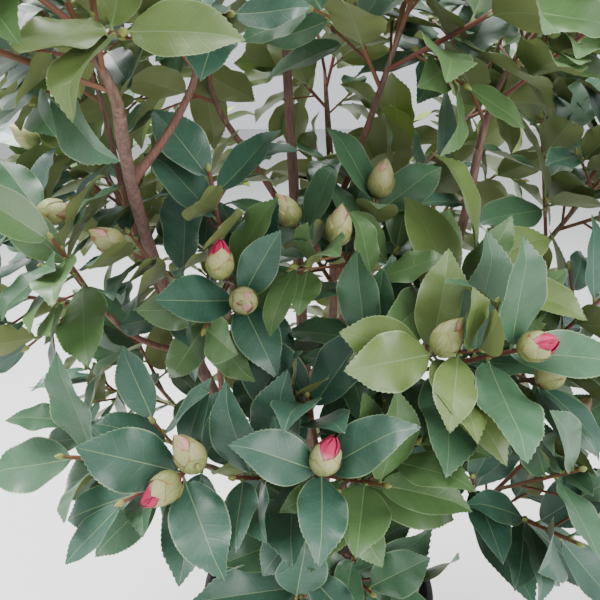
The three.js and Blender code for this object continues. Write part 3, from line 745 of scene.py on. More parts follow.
def leaf_shape(leaf, draw):
    """The points of a leaf's two faces and its toothed margins, and each point's share along and across."""
    bow, droop, twist, wave, phase, camber = (between(span, next(draw)) for span in LEAF_SPANS)
    stops = blade_stops()

    def half_width(v):
        t = np.clip((v - PETIOLE_SHARE) / (1 - PETIOLE_SHARE), 0, 1)
        body = np.sin(math.pi * t**0.88) ** 0.8 * (1 - 0.35 * smooth((t - 0.74) / 0.26))
        return body * leaf.width / 2 + 1.0 * (1 - t) ** 8 + 0.12

    def height(v, across, half):
        a = np.abs(across)
        share = half / (leaf.width / 2)
        lift = leaf.fold * leaf.length * share * a**1.15
        lift += camber * half * (1 - (2 * a - 1) ** 2)
        lift += bow * leaf.length * 4 * v * (1 - v)
        lift -= droop * leaf.length * smooth((v - 0.7) / 0.3) ** 2
        swing = np.sin(2 * math.pi * (2.6 * v + phase + 0.3 * np.sign(across)))
        return lift + wave * half * a**2 * swing

    def bent(v, y, z):
        cosine, sine = np.cos(twist * (v - 0.2)), np.sin(twist * (v - 0.2))
        return np.stack((v * leaf.length, y * cosine - z * sine, z * cosine + y * sine), -1)

    half = half_width(stops)[:, None]
    rib = np.minimum(0.3, RIB_HALF * (1 - 0.6 * stops) / half[:, 0])
    across = np.tile(np.array(INNER_COLUMNS), (len(stops), 1))
    across[:, RIB_COLUMNS] = np.stack((-rib, rib), -1)
    v = stops[:, None] * np.ones_like(across)
    middle = height(v, across, half)
    stalk = 1 - smooth((v - PETIOLE_SHARE * 0.8) / 0.06)
    round_off = 1 - across**2
    raised = np.zeros_like(across)
    raised[:, RIB_COLUMNS] = 1
    over = BLADE_HALF + stalk * 0.75 * round_off - raised * 0.12 * (1 - stalk)
    below = BLADE_HALF + stalk * 0.8 * round_off + raised * 0.7 * (1 - 0.75 * v)
    nets = [bent(v, across * half, middle + over), bent(v, across * half, middle - below)]

    edge_v = np.interp(np.arange(2 * len(stops) - 1) / 2, np.arange(len(stops)), stops)
    t = (edge_v - PETIOLE_SHARE) / (1 - PETIOLE_SHARE)
    toothed = smooth((t - 0.06) / 0.08) * (1 - smooth((t - 0.93) / 0.06))
    tip_row = np.arange(len(edge_v)) % 2 == 0
    edge_half = half_width(edge_v) + toothed * np.where(tip_row, TOOTH_OUT, -TOOTH_OUT / 2)
    step = leaf.length / BLADE_STEPS
    edge_shift = toothed * np.where(tip_row, TOOTH_FORWARD * step, 0) / leaf.length
    margins = []
    for sign in (-1, 1):
        lift = height(edge_v, np.full_like(edge_v, sign), half_width(edge_v))
        margins.append(bent(edge_v + edge_shift, sign * edge_half, lift))
    local = np.concatenate([nets[0].reshape(-1, 3), nets[1].reshape(-1, 3), *margins])
    flat = np.concatenate([np.stack((v, across), -1).reshape(-1, 2)] * 2)
    edges = [np.stack((edge_v, np.full_like(edge_v, sign)), -1) for sign in (-1, 1)]
    side = cross(leaf.face, leaf.along)
    points = leaf.root + local[:, :1] * leaf.along + local[:, 1:2] * side + local[:, 2:] * leaf.face
    return points, np.concatenate([flat, *edges])


def leaf_patch(leaf, draw, colour_slot, tile, tiles):
    """A leaf with its map of the blade and its own tile on the piece's sheet."""
    faces, materials, sides = leaf_faces()
    points, flat = leaf_shape(leaf, draw)
    corners = flat[faces]
    places = np.stack((corners[..., 1] / 2 + 0.5, corners[..., 0]), -1)
    sheet = sheet_places(places, 2 * tile + sides, tiles)
    slots = np.select([materials == RIB, materials == UNDER], [1, 0], colour_slot)
    return Patch(points, faces, slots, leaf=places.reshape(-1, 2), OFBake=sheet.reshape(-1, 2))


def sheet_places(flat, spot, tiles):
    """Puts a form's own flat map, from 0 to 1 each way, on its tile of the piece's sheet."""
    columns, rows = tiles
    corner = np.stack((spot % columns, spot // columns), -1)[:, None]
    return (corner + 0.02 + 0.96 * flat) / (columns, rows)


# Wood

LEADER_TIP_RADIUS = 2.0
SHOOT_WOOD_RADII = (1.9, 1.4)
TONE_SEED_STEP = 4000
BROWN_SHARE = 0.6
NODE_REACH = 2 * ROOT_OUT + 0.1
NODE_SPAN = (-0.05, 1.05)
TWIG_SWELL = 0.35
AXIL_BUD = (5.0, 1.5)
TIP_BUD = (9.0, 2.4)
HIGHEST_AXIL_BUD = 0.78
BARK_SIDES = {"trunk": 24, "stem": 16, "bough": 12}
BARK_STEP = 4.0
BARK_INSET = 0.97
FOOT_SPREAD = 0.07
BARK_DENT = 0.3
DENT_LENGTH = 14
BARK_WRINKLE = 0.3
WRINKLE_LENGTH = 34
BARK_FINE = 0.1
FINE_LENGTH = 5
SCAR_WIDTH = 1.8
SCAR_SPACING = 31.0
SCAR_RISE = 0.45
COLLAR_SHARE = 0.45
COLLAR_LENGTH = 8.0


def egg_patch(base, way, length, radius, sides=5, rings=3, slot=0):
    """A small pointed bud."""
    curve = Curve(base, base + way * length)
    stops = [i / rings for i in range(rings + 1)]
    points = tube_points(curve, lambda t: 0.05 + radius * math.sin(math.pi * t**0.75) ** 0.8, sides, stops)
    faces = tube_faces(sides, rings)
    return Patch(points, faces, np.full(len(faces), slot))


def twig_patch(limb, radii, sides, rings, nodes=(), slot=0):
    """A twig with a swelling at each node where a leaf stands."""
    stops = sorted({i / rings for i in range(rings + 1)} | {min(max(t, 0), 1) for t in nodes})

    def radius_at(t):
        swell = sum(math.exp(-(((t - node) / 0.03) ** 2)) for node in nodes)
        return between(radii, t) + TWIG_SWELL * min(swell, 1)

    points = tube_points(limb.curve, radius_at, sides, stops)
    faces = tube_faces(sides, len(stops) - 1)
    return Patch(points, faces, np.full(len(faces), slot))


def share_along(limb, point):
    """How far along a straight twig a point lies."""
    way = limb.curve.end - limb.curve.start
    return float((point - limb.curve.start) @ way / (way @ way))


def leaves_on(twig, leaves):
    """The leaves that a twig bears, each with its share along it."""
    found = []
    for leaf in leaves:
        share = share_along(twig, leaf.root)
        off = np.linalg.norm(leaf.root - twig.curve.at(share))
        if off < NODE_REACH and NODE_SPAN[0] < share < NODE_SPAN[1]:
            found.append((leaf, share))
    return found


def shoot_patches(shoot, leaves, radii, sides, tone):
    """A shoot or side twig with the small buds at its leaves and at its tip."""
    borne = leaves_on(shoot, leaves)
    patches = [twig_patch(shoot, radii, sides, 6, [share for _, share in borne], tone)]
    way = shoot.curve.heading(0.5)
    for leaf, share in borne:
        if shoot.budded and share > HIGHEST_AXIL_BUD:
            continue
        lean = unit(leaf.along * 0.5 + way)
        base = leaf.root + unit(leaf.along) * 0.9
        patches.append(egg_patch(base, lean, *AXIL_BUD, slot=3))
    if not shoot.budded:
        base = shoot.curve.end - way * 0.8
        patches.append(egg_patch(base, way, *TIP_BUD, sides=7, rings=5, slot=3))
    return patches


def bark_relief(angle, distance, radius, seed):
    """How far the bark stands out at a place: dents, long wrinkles and the scars of old leaves."""
    around = Vector((math.cos(angle), math.sin(angle), 0))
    dent = noise.noise(around * 1.3 + Vector((seed, 0, distance / DENT_LENGTH)))
    wrinkle = noise.noise(around * 5.5 + Vector((0, seed, distance / WRINKLE_LENGTH)))
    fine = noise.noise(around * 9 + Vector((seed, seed, distance / FINE_LENGTH)))
    number = math.floor(distance / SCAR_SPACING)
    facing = angle - number * GOLDEN_ANGLE - seed
    off = distance - (number + 0.5) * SCAR_SPACING
    scar = math.exp(-((off / SCAR_WIDTH) ** 2)) * (0.5 + 0.5 * math.cos(facing)) ** 2
    scale = min(radius / 6, 1.6)
    return scale * (BARK_DENT * dent + BARK_WRINKLE * wrinkle + BARK_FINE * fine + SCAR_RISE * scar)


def bark_patch(name, limb, parent, number):
    """A limb's bark, from inside what carries it to its tip."""
    length = limb.curve.length()
    sides = BARK_SIDES[name.split("_")[0]]
    rings = max(8, round(length / BARK_STEP))
    hidden = parent.radius_at(1) if parent else 0
    way = unit(limb.curve.end - limb.curve.start)
    points, angles = [], [2 * math.pi * i / sides for i in range(sides)]
    for ring in range(rings + 1):
        t = ring / rings
        side, up = square_to(limb.curve.heading(t), way)
        middle, radius = limb.curve.at(t), limb.radius_at(t) * BARK_INSET
        if parent:
            radius *= 1 + COLLAR_SHARE * math.exp(-max(t * length - hidden, 0) / COLLAR_LENGTH)
        else:
            radius *= 1 + FOOT_SPREAD * math.exp(-t / FLARE_SHARE)
        for angle in angles:
            reach = radius + bark_relief(angle, t * length, radius, number)
            points.append(middle + (side * math.sin(angle) + up * math.cos(angle)) * reach)
    points += [limb.curve.at(0), limb.curve.at(1) + limb.curve.heading(1) * 0.8]
    faces = tube_faces(sides, rings)
    sheet = tube_places(sides, rings) * 0.96 + 0.02
    return Patch(np.array(points), faces, OFBake=sheet.reshape(-1, 2))


# Flower buds

SCALE_ROWS = 7
SCALE_COLUMNS = 6
SCALE_THICKNESS = 0.4
SCALES = 9
LOWER_SCALES = 4
SCALE_LIFT = 0.2
PETALS = 6
BUD_FOOT = 1.5
SCALED_LENGTH = 34
SCALED_RADIUS = 10.4
BUD_CORE_SIDES = 12
BUD_CORE_RINGS = 8
CORE_SHARE = 0.86
OPENED_CORE = 0.93
SCALE_SPREAD = (0.95, 1.35)
PETAL_SPREAD = 0.9
PETAL_FOOT = 0.3
PETAL_CRUMPLE = 0.45


def bud_radius(h):
    """The radius of a flower bud at a share h of its height."""
    h = np.clip(h, 0, 1)
    return SCALED_RADIUS * np.clip(np.sin(math.pi * h**0.78), 0, 1) ** 0.72 * (1 - 0.12 * h**2)


@functools.cache
def shell_faces():
    """The triangles of a thin closed shell on a grid."""
    rows, columns = SCALE_ROWS + 1, SCALE_COLUMNS + 1
    outer = np.arange(rows * columns).reshape(rows, columns)
    inner = outer + outer.size
    faces = []
    for i in range(SCALE_ROWS):
        for j in range(SCALE_COLUMNS):
            for net, turn in ((outer, 1), (inner, -1)):
                a, b, d, e = net[i, j], net[i, j + 1], net[i + 1, j + 1], net[i + 1, j]
                faces += [(a, b, d)[::turn], (a, d, e)[::turn]]
    rim = [*outer[0, :], *outer[1:, -1], *outer[-1, -2::-1], *outer[-2:0:-1, 0]]
    for a, b in zip(rim, rim[1:] + rim[:1]):
        faces += [(b, a, a + outer.size), (b, a + outer.size, b + outer.size)]
    return np.array(faces)


def shell_patch(place, way, span, turn, spread, layer, lift, slot, tile, crumple=0.0):
    """A scale or petal that wraps a bud between two shares of its height."""
    (low, high), (spot, tiles) = span, tile
    faces = shell_faces()
    rise = 1 - (1 - np.linspace(0, 1, SCALE_ROWS + 1)) ** 1.6
    p, q = np.meshgrid(rise, np.linspace(-1, 1, SCALE_COLUMNS + 1), indexing="ij")
    outline = np.sqrt(np.clip(1 - p**2.8, 0.002, 1)) * (0.8 + 0.2 * np.sin(math.pi * p))
    angle = turn + spread * q * outline
    h = low + (high - low) * (p - 0.1 * q**2 * p)
    radius = np.maximum(bud_radius(h) + layer + lift * p**4, 0.05)
    wrinkle = crumple * np.sin(9 * angle + 4 * p) * p
    side, up = square_to(way)
    nets = []
    for depth in (SCALE_THICKNESS * (1 - 0.7 * np.abs(q) ** 3) * (1 - 0.7 * p**4), np.zeros_like(p)):
        reach = (radius + depth + wrinkle)[..., None]
        around = np.sin(angle)[..., None] * side + np.cos(angle)[..., None] * up
        nets.append((place + h[..., None] * SCALED_LENGTH * way + around * reach).reshape(-1, 3))
    flat = np.stack((q / 2 + 0.5, p), -1).reshape(-1, 2)
    places = np.concatenate([flat, flat])[faces]
    sheet = sheet_places(places, np.full(len(faces), spot), tiles)
    slots = np.full(len(faces), slot)
    points = np.concatenate(nets)
    return Patch(points, faces, slots, leaf=places.reshape(-1, 2), OFBake=sheet.reshape(-1, 2))


def bud_patches(shoot, number, tiles):
    """A flower bud: overlapping scales over a silky middle, with petals at the tip of the forward ones."""
    opened = any(np.linalg.norm(shoot.curve.end - tip) < 1 for tip in FLOWER_TIPS)
    way = shoot.bud_way
    place = shoot.curve.end - way * BUD_FOOT
    spot = number * (SCALES + PETALS + 1)
    core = Curve(place, place + way * SCALED_LENGTH * (OPENED_CORE if opened else 1.0))
    stops = [i / BUD_CORE_RINGS for i in range(BUD_CORE_RINGS + 1)]
    points = tube_points(core, lambda t: 0.05 + CORE_SHARE * float(bud_radius(t)), BUD_CORE_SIDES, stops)
    faces = tube_faces(BUD_CORE_SIDES, BUD_CORE_RINGS)
    inside, tint = (2, 0.9) if opened else (1, 0.5)
    tints = np.full((3 * len(faces), 2), (0.5, tint))
    places = tube_places(BUD_CORE_SIDES, BUD_CORE_RINGS)
    sheet = sheet_places(places, np.full(len(faces), spot + SCALES + PETALS), tiles).reshape(-1, 2)
    parts = [Patch(points, faces, np.full(len(faces), inside), leaf=tints, OFBake=sheet)]
    last = 0.8 if opened else 1.02
    for i in range(SCALES):
        share = i / (SCALES - 1)
        span = (0.02 + 0.2 * share, between((0.34, last), share**0.75))
        layer = 1.3 * (1 - share)
        turn = i * GOLDEN_ANGLE + number
        spread = between(SCALE_SPREAD, share)
        slot, tile = int(i >= LOWER_SCALES), (spot + i, tiles)
        parts.append(shell_patch(place, way, span, turn, spread, layer, SCALE_LIFT, slot, tile))
    for i in range(PETALS):
        turn = i * GOLDEN_ANGLE + 2
        slot, high, crumple = (2, 0.93 + 0.025 * (i % 3), PETAL_CRUMPLE) if opened else (3, 0.99, 0.0)
        span, layer = (PETAL_FOOT, high), -0.9 + 0.2 * (i % 3)
        tile = (spot + SCALES + i, tiles)
        parts.append(shell_patch(place, way, span, turn, PETAL_SPREAD, layer, 0.0, slot, tile, crumple))
    return parts


# Pot and potting mix

POT_HEIGHT = 280
POT_RIM_RADIUS = 150
POT_FOOT_RADIUS = 116
POT_WALL = 3
RIM_BAND = 26
RIM_STEP = 5
LIP_WIDTH = 8
DRAIN_HOLES = 4
DRAIN_RING = 111
DRAIN_RADIUS = 9
DRAIN_REACH = 12
DRAIN_SIDES = 24
POT_SIDES = 144
FOOT_RING = 6
FOOT_RISE = 1.5
BAND_LINES = 3
BAND_LINE_RISE = 0.5
SOIL_FALL = 8
SOIL_FLAT_RADIUS = 36
SOIL_DEPTH = 40
SOIL_LUMP = 2.4
SOIL_GAP = 1.2
SOIL_SIDES = 120
SOIL_RINGS = 44
SCATTER_GAP = 8
TRUNK_CLEARING = 26
CHIPS = 620
CHIP_SEED = 11
CHIP_SIZES = (2.5, 8)
GRAINS = 130
GRAIN_SEED = 12
GRAIN_SIZES = (0.9, 2.2)


def wall_radius(height):
    """The pot wall's outer radius at a height."""
    return between((POT_FOOT_RADIUS, POT_RIM_RADIUS - LIP_WIDTH), height / POT_HEIGHT)


def arc(middle, radius, first, last, steps):
    """Points of a round corner, from one angle to another, in degrees."""
    turns = [(first + (last - first) * i / steps) * DEGREE for i in range(steps + 1)]
    return [(middle[0] + radius * math.cos(a), middle[1] + radius * math.sin(a)) for a in turns]


def lathe_patch(outline, sides):
    """A closed form turned about the upright axis, from an outline that starts and ends on it."""
    inner = outline[1:-1]
    angles = np.arange(sides) * 2 * math.pi / sides
    rings = [np.stack((r * np.cos(angles), r * np.sin(angles), np.full(sides, z)), -1) for r, z in inner]
    points = np.concatenate([*rings, [(0, 0, outline[0][1]), (0, 0, outline[-1][1])]])
    faces, low, high = [], len(inner) * sides, len(inner) * sides + 1
    for i in range(sides):
        j = (i + 1) % sides
        faces += [(low, j, i), (high, low - sides + i, low - sides + j)]
        for ring in range(0, low - sides, sides):
            faces += [(ring + i, ring + j, ring + sides + j), (ring + i, ring + sides + j, ring + sides + i)]
    return Patch(points, np.array(faces))


def pot_outline():
    """The pot's section: foot ring, tapering wall, lined band, rolled lip and the inside."""
    band_foot = POT_HEIGHT - RIM_BAND
    wall, band = wall_radius(band_foot), wall_radius(band_foot) + RIM_STEP
    outline = [(0, FOOT_RISE), (POT_FOOT_RADIUS - FOOT_RING - 1, FOOT_RISE), (POT_FOOT_RADIUS - FOOT_RING, 0)]
    outline += arc((POT_FOOT_RADIUS - 1.5, 1.5), 1.5, -90, 0, 4)
    outline += [(wall_radius(z), z) for z in (20, 60, 110, 160, 210)]
    outline += [(wall, band_foot - 1.2), (wall + 0.3, band_foot - 0.3)]
    outline += arc((band - 1, band_foot + 1.4), 1, -80, 0, 4)
    lines_from, line_step = band_foot + 5, 4.2
    lean = (POT_RIM_RADIUS - band) / (RIM_BAND - 4)
    for i in range(BAND_LINES):
        z = lines_from + i * line_step
        r = band + lean * (z - band_foot)
        outline += [(r, z), (r + BAND_LINE_RISE, z + 0.5), (r + BAND_LINE_RISE, z + 1.1), (r + 0.05, z + 1.6)]
    outline += arc((POT_RIM_RADIUS - 3, POT_HEIGHT - 3), 3, 0, 90, 6)
    outline += arc((POT_RIM_RADIUS - LIP_WIDTH + 1.5, POT_HEIGHT - 1.5), 1.5, 90, 180, 4)
    outline += [(wall_radius(z) - POT_WALL, z) for z in (band_foot, 200, 120, 40)]
    outline += arc((wall_radius(8) - POT_WALL - 4, 9), 4, 0, -90, 4)
    return [*outline, (0, 5)]


def without_holes(made, cutters):
    """Cuts the cutters out of a piece and removes them."""
    for cutter in cutters:
        modifier = made.modifiers.new("hole", "BOOLEAN")
        modifier.operation, modifier.solver, modifier.object = "DIFFERENCE", "EXACT", cutter
    bpy.context.view_layer.update()
    cut = bpy.data.meshes.new_from_object(made.evaluated_get(bpy.context.evaluated_depsgraph_get()))
    cut.set_sharp_from_angle(angle=CREASE)
    made.modifiers.clear()
    made.data = cut
    for cutter in cutters:
        bpy.data.objects.remove(cutter)


def drain_cutter(number):
    """An upright cylinder where a drain hole goes."""
    angle = (number + 0.5) / DRAIN_HOLES * 2 * math.pi
    place = np.array((DRAIN_RING * math.cos(angle), DRAIN_RING * math.sin(angle), -DRAIN_REACH))
    curve = Curve(place, place + (0, 0, 2 * DRAIN_REACH))
    points = tube_points(curve, lambda t: DRAIN_RADIUS, DRAIN_SIDES, (0, 1)) * MM
    mesh = bpy.data.meshes.new("drain")
    mesh.from_pydata(points, [], tube_faces(DRAIN_SIDES, 1))
    cutter = bpy.data.objects.new("drain", mesh)
    bpy.context.scene.collection.objects.link(cutter)
    return cutter


def soil_height(x, y):
    """The height of the mix's surface at a place."""
    radius = math.hypot(x, y)
    edge = wall_radius(SOIL_LEVEL) - POT_WALL
    fall = SOIL_FALL * max(0, (radius - SOIL_FLAT_RADIUS) / (edge - SOIL_FLAT_RADIUS))
    lump = noise.noise(Vector((x / 16, y / 16, 3))) + 0.5 * noise.noise(Vector((x / 5, y / 5, 8)))
    return SOIL_LEVEL - 1 - fall + SOIL_LUMP * lump


def soil_patch():
    """The body of the mix, lumpy above."""
    sides, rings = SOIL_SIDES, SOIL_RINGS
    edge = wall_radius(SOIL_LEVEL - SOIL_FALL) - POT_WALL - SOIL_GAP
    points = [(0, 0, soil_height(0, 0))]
    for ring in range(1, rings + 1):
        for i in range(sides):
            angle, radius = 2 * math.pi * i / sides, edge * ring / rings
            x, y = radius * math.cos(angle), radius * math.sin(angle)
            points.append((x, y, soil_height(x, y)))
    low = wall_radius(SOIL_LEVEL - SOIL_DEPTH) - POT_WALL - SOIL_GAP
    for i in range(sides):
        angle = 2 * math.pi * i / sides
        points.append((low * math.cos(angle), low * math.sin(angle), SOIL_LEVEL - SOIL_DEPTH))
    points.append((0, 0, SOIL_LEVEL - SOIL_DEPTH))
    faces = []
    for i in range(sides):
        j = (i + 1) % sides
        faces += [(0, 1 + i, 1 + j), (len(points) - 1, 1 + rings * sides + j, 1 + rings * sides + i)]
        for ring in range(rings):
            a, b = 1 + ring * sides + i, 1 + ring * sides + j
            faces += [(a, a + sides, b + sides), (a, b + sides, b)]
    return Patch(np.array(points), np.array(faces))


def scatter(count, seed, sizes):
    """Places on the mix's surface, each with a size and a way up."""
    draw = seeded(seed)
    edge = wall_radius(SOIL_LEVEL - SOIL_FALL) - POT_WALL - SCATTER_GAP
    for _ in range(count):
        angle, radius = next(draw) * 2 * math.pi, edge * math.sqrt(next(draw))
        x, y = radius * math.cos(angle), radius * math.sin(angle)
        size = between(sizes, next(draw) ** 2)
        up = unit(np.array((next(draw) - 0.5, next(draw) - 0.5, 0.9)))
        if radius > TRUNK_CLEARING:
            yield np.array((x, y, soil_height(x, y))), size, up, draw


def chip_patch(place, size, up, draw, slot):
    """A flat chip of composted bark with a broken outline."""
    side, other = square_to(up)
    corners = 6
    outline = []
    for i in range(corners):
        angle = 2 * math.pi * i / corners
        reach = size * (0.55 + 0.45 * next(draw))
        outline.append(side * math.sin(angle) * reach + other * math.cos(angle) * reach * 0.55)
    thick = size * between((0.12, 0.28), next(draw))
    foot = [place + spot for spot in outline]
    top = [place + spot * 0.85 + up * thick for spot in outline]
    points = np.array([*foot, *top, place - up * 0.3 * thick, place + up * thick * 1.15])
    faces = tube_faces(corners, 1)
    return Patch(points, faces, np.full(len(faces), slot))


# Materials

LEAF_GREENS = ("#375c4a", "#43684a", "#527242", "#647940", "#8ca840")
LEAF_GREEN_SHARES = (0.4, 0.7, 0.88, 0.96)
VEIN_PAIRS = 8.0
VEIN_SWEEP = 0.17
GRAIN_STRETCH = 0.14


def flat_map(tree):
    """The flat map called leaf, which bud scales have too: place, shares and distance from the middle."""
    place = add_node(tree, "ShaderNodeUVMap", uv_map="leaf")
    parts = add_node(tree, "ShaderNodeSeparateXYZ", {0: place.outputs[0]})
    off = add_node(tree, "ShaderNodeMath", {0: parts.outputs[0], 1: 0.5}, operation="SUBTRACT")
    half = add_node(tree, "ShaderNodeMath", {0: off.outputs[0]}, operation="ABSOLUTE")
    away = add_node(tree, "ShaderNodeMath", {0: half.outputs[0], 1: 2.0}, operation="MULTIPLY")
    return place, parts, away


def leaf_upper(name, colour, settings):
    """The waxy upper face: faint side veins, a pale margin, a soft mottle and a few specks of dust."""
    material, tree, shader = new_material(
        name, Roughness=settings.roughness, Coat_Weight=settings.wax, Coat_Roughness=0.3
    )
    _, parts, away = flat_map(tree)
    swept = add_node(
        tree,
        "ShaderNodeMath",
        {0: away.outputs[0], 1: -VEIN_SWEEP, 2: parts.outputs[1]},
        operation="MULTIPLY_ADD",
    )
    row = add_node(tree, "ShaderNodeMath", {0: swept.outputs[0], 1: VEIN_PAIRS}, operation="MULTIPLY")
    fold = add_node(tree, "ShaderNodeMath", {0: row.outputs[0], 1: 0.5}, operation="PINGPONG")
    vein = add_node(
        tree,
        "ShaderNodeMapRange",
        {"Value": fold.outputs[0], "From Min": 0.1, "From Max": 0.0},
        interpolation_type="SMOOTHSTEP",
    )
    margin = add_node(
        tree,
        "ShaderNodeMapRange",
        {"Value": away.outputs[0], "From Min": 0.94, "From Max": 0.99, "To Max": 0.9},
        interpolation_type="SMOOTHSTEP",
    )
    faint = add_node(tree, "ShaderNodeMath", {0: vein.outputs[0], 1: settings.veins}, operation="MULTIPLY")
    lines = add_node(tree, "ShaderNodeMath", {0: faint.outputs[0], 1: margin.outputs[0]}, operation="MAXIMUM")
    spot = add_node(tree, "ShaderNodeTexCoord")
    mottle = add_node(
        tree, "ShaderNodeTexNoise", {"Vector": spot.outputs["Object"], "Scale": 1 / (18 * MM), "Detail": 2.0}
    )
    dark, light = (tuple(c * share for c in linear(colour)) for share in (0.75, 1.25))
    blade = add_node(
        tree, "ShaderNodeMix", {0: mottle.outputs[0], 6: opaque(dark), 7: opaque(light)}, data_type="RGBA"
    )
    pale = tuple(between(ends, 0.5) for ends in zip(linear(colour), linear("#aebf8f")))
    tinted = add_node(
        tree, "ShaderNodeMix", {0: lines.outputs[0], 6: blade.outputs[2], 7: opaque(pale)}, data_type="RGBA"
    )
    # Real dust and the skin's grain are too fine to show, so both are drawn about 2 mm coarse
    specks = add_node(
        tree, "ShaderNodeTexNoise", {"Vector": spot.outputs["Object"], "Scale": 1 / (1.6 * MM), "Detail": 3.0}
    )
    dust = add_node(
        tree,
        "ShaderNodeMapRange",
        {"Value": specks.outputs[0], "From Min": 0.58, "From Max": 0.74, "To Max": settings.dust},
    )
    dusty = add_node(
        tree,
        "ShaderNodeMix",
        {0: dust.outputs[0], 6: tinted.outputs[2], 7: opaque(linear("#b4bba8"))},
        data_type="RGBA",
    )
    grain = add_node(
        tree, "ShaderNodeTexNoise", {"Vector": spot.outputs["Object"], "Scale": 1 / (2.2 * MM), "Detail": 2.0}
    )
    height = add_node(
        tree, "ShaderNodeMath", {0: vein.outputs[0], 1: -1.0, 2: grain.outputs[0]}, operation="MULTIPLY_ADD"
    )
    bump = add_node(
        tree, "ShaderNodeBump", {"Height": height.outputs[0], "Strength": 0.25, "Distance": 0.25 * MM}
    )
    tree.links.new(dusty.outputs[2], shader.inputs["Base Color"])
    tree.links.new(bump.outputs[0], shader.inputs["Normal"])
    return material


def leaf_materials(settings):
    """The underside, the midrib and the upper greens, in the order of a leaf's material numbers."""
    # The underside has no wax, so it is duller and paler; the midrib and stalk are smooth and paler still
    under, _, _ = new_material("leaf underside", Base_Color=opaque(linear("#727c49")), Roughness=0.5)
    rib, _, _ = new_material("leaf midrib and stalk", Base_Color=opaque(linear("#7b9166")), Roughness=0.45)
    uppers = [leaf_upper(f"leaf upper {i + 1}", colour, settings) for i, colour in enumerate(LEAF_GREENS)]
    return [under, rib, *uppers]


def wood_material(name, colours, size, roughness, depth):
    """Bark: one colour breaking through another in long streaks, over a finely fissured skin."""
    material, tree, shader = new_material(name, Roughness=roughness)
    spot = add_node(tree, "ShaderNodeTexCoord")
    drawn_out = add_node(
        tree, "ShaderNodeMapping", {"Vector": spot.outputs["Object"], "Scale": (1, 1, GRAIN_STRETCH)}
    )
    patch = add_node(
        tree,
        "ShaderNodeTexNoise",
        {"Vector": drawn_out.outputs[0], "Scale": 1 / (size * MM), "Detail": 5.0, "Roughness": 0.66},
    )
    share = add_node(
        tree, "ShaderNodeMapRange", {"Value": patch.outputs[0], "From Min": 0.4, "From Max": 0.6}
    )
    first, second = (opaque(linear(colour)) for colour in colours)
    tinted = add_node(
        tree, "ShaderNodeMix", {0: share.outputs[0], 6: first, 7: second}, data_type="RGBA"
    )
    fissure = add_node(
        tree, "ShaderNodeTexNoise", {"Vector": drawn_out.outputs[0], "Scale": 1 / (1.6 * MM), "Detail": 4.0}
    )
    bump = add_node(
        tree, "ShaderNodeBump", {"Height": fissure.outputs[0], "Strength": 0.6, "Distance": depth * MM}
    )
    tree.links.new(tinted.outputs[2], shader.inputs["Base Color"])
    tree.links.new(bump.outputs[0], shader.inputs["Normal"])
    return material


def bud_scale_material(name, colours):
    """A bud's scale: downy, paler towards its tip, drying to ochre along its edge and in blotches."""
    material, tree, shader = new_material(name, Roughness=0.55)
    place, parts, away = flat_map(tree)
    edge = add_node(tree, "ShaderNodeMath", {0: away.outputs[0], 1: parts.outputs[1]}, operation="MAXIMUM")
    spot = add_node(tree, "ShaderNodeTexCoord")
    blotch = add_node(
        tree, "ShaderNodeTexNoise", {"Vector": spot.outputs["Object"], "Scale": 1 / (7 * MM), "Detail": 3.0}
    )
    ragged = add_node(
        tree, "ShaderNodeMath", {0: blotch.outputs[0], 1: 1.2, 2: edge.outputs[0]}, operation="MULTIPLY_ADD"
    )
    dry = add_node(
        tree,
        "ShaderNodeMapRange",
        {"Value": ragged.outputs[0], "From Min": 1.48, "From Max": 1.72},
        interpolation_type="SMOOTHSTEP",
    )
    low, high = (opaque(linear(colour)) for colour in colours)
    fresh = add_node(tree, "ShaderNodeMix", {0: parts.outputs[1], 6: low, 7: high}, data_type="RGBA")
    # Down is far finer than this, and is drawn as about twenty streaks across a scale so that it shows
    combed = add_node(tree, "ShaderNodeMapping", {"Vector": place.outputs[0], "Scale": (22, 2.2, 1)})
    down = add_node(tree, "ShaderNodeTexNoise", {"Vector": combed.outputs[0], "Scale": 1.0, "Detail": 3.0})
    streak = add_node(
        tree,
        "ShaderNodeMapRange",
        {"Value": down.outputs[0], "From Min": 0.35, "From Max": 0.65, "To Max": 0.28},
    )
    silky = add_node(
        tree,
        "ShaderNodeMix",
        {0: streak.outputs[0], 6: fresh.outputs[2], 7: opaque(linear("#cfcfa0"))},
        data_type="RGBA",
    )
    ochre = opaque(linear("#9c6a3a"))
    tinted = add_node(
        tree, "ShaderNodeMix", {0: dry.outputs[0], 6: silky.outputs[2], 7: ochre}, data_type="RGBA"
    )
    tree.links.new(tinted.outputs[2], shader.inputs["Base Color"])
    return material


def bud_materials():
    """Lower and upper scales, the petals that show at an opening tip, and the tip of a closed bud."""
    # Petals are soft and matt, pale where the scales still cover them and deep pink where they show
    petal, tree, shader = new_material("camellia petal", Roughness=0.55)
    place = add_node(tree, "ShaderNodeUVMap", uv_map="leaf")
    parts = add_node(tree, "ShaderNodeSeparateXYZ", {0: place.outputs[0]})
    flush = add_node(
        tree, "ShaderNodeMapRange", {"Value": parts.outputs[1], "From Min": 0.3, "From Max": 0.6}
    )
    pale, deep = opaque(linear("#d8a0a0")), opaque(linear("#b92151"))
    tinted = add_node(tree, "ShaderNodeMix", {0: flush.outputs[0], 6: pale, 7: deep}, data_type="RGBA")
    tree.links.new(tinted.outputs[2], shader.inputs["Base Color"])
    # A closed bud's tip is dry and thin, so the pink shows through
    tip, _, _ = new_material("bud tip", Base_Color=opaque(linear("#cf9a8e")), Roughness=0.6)
    scales = (("lower bud scale", ("#5f6a30", "#868b46")), ("upper bud scale", ("#7a8440", "#aca673")))
    return [*(bud_scale_material(name, colours) for name, colours in scales), petal, tip]


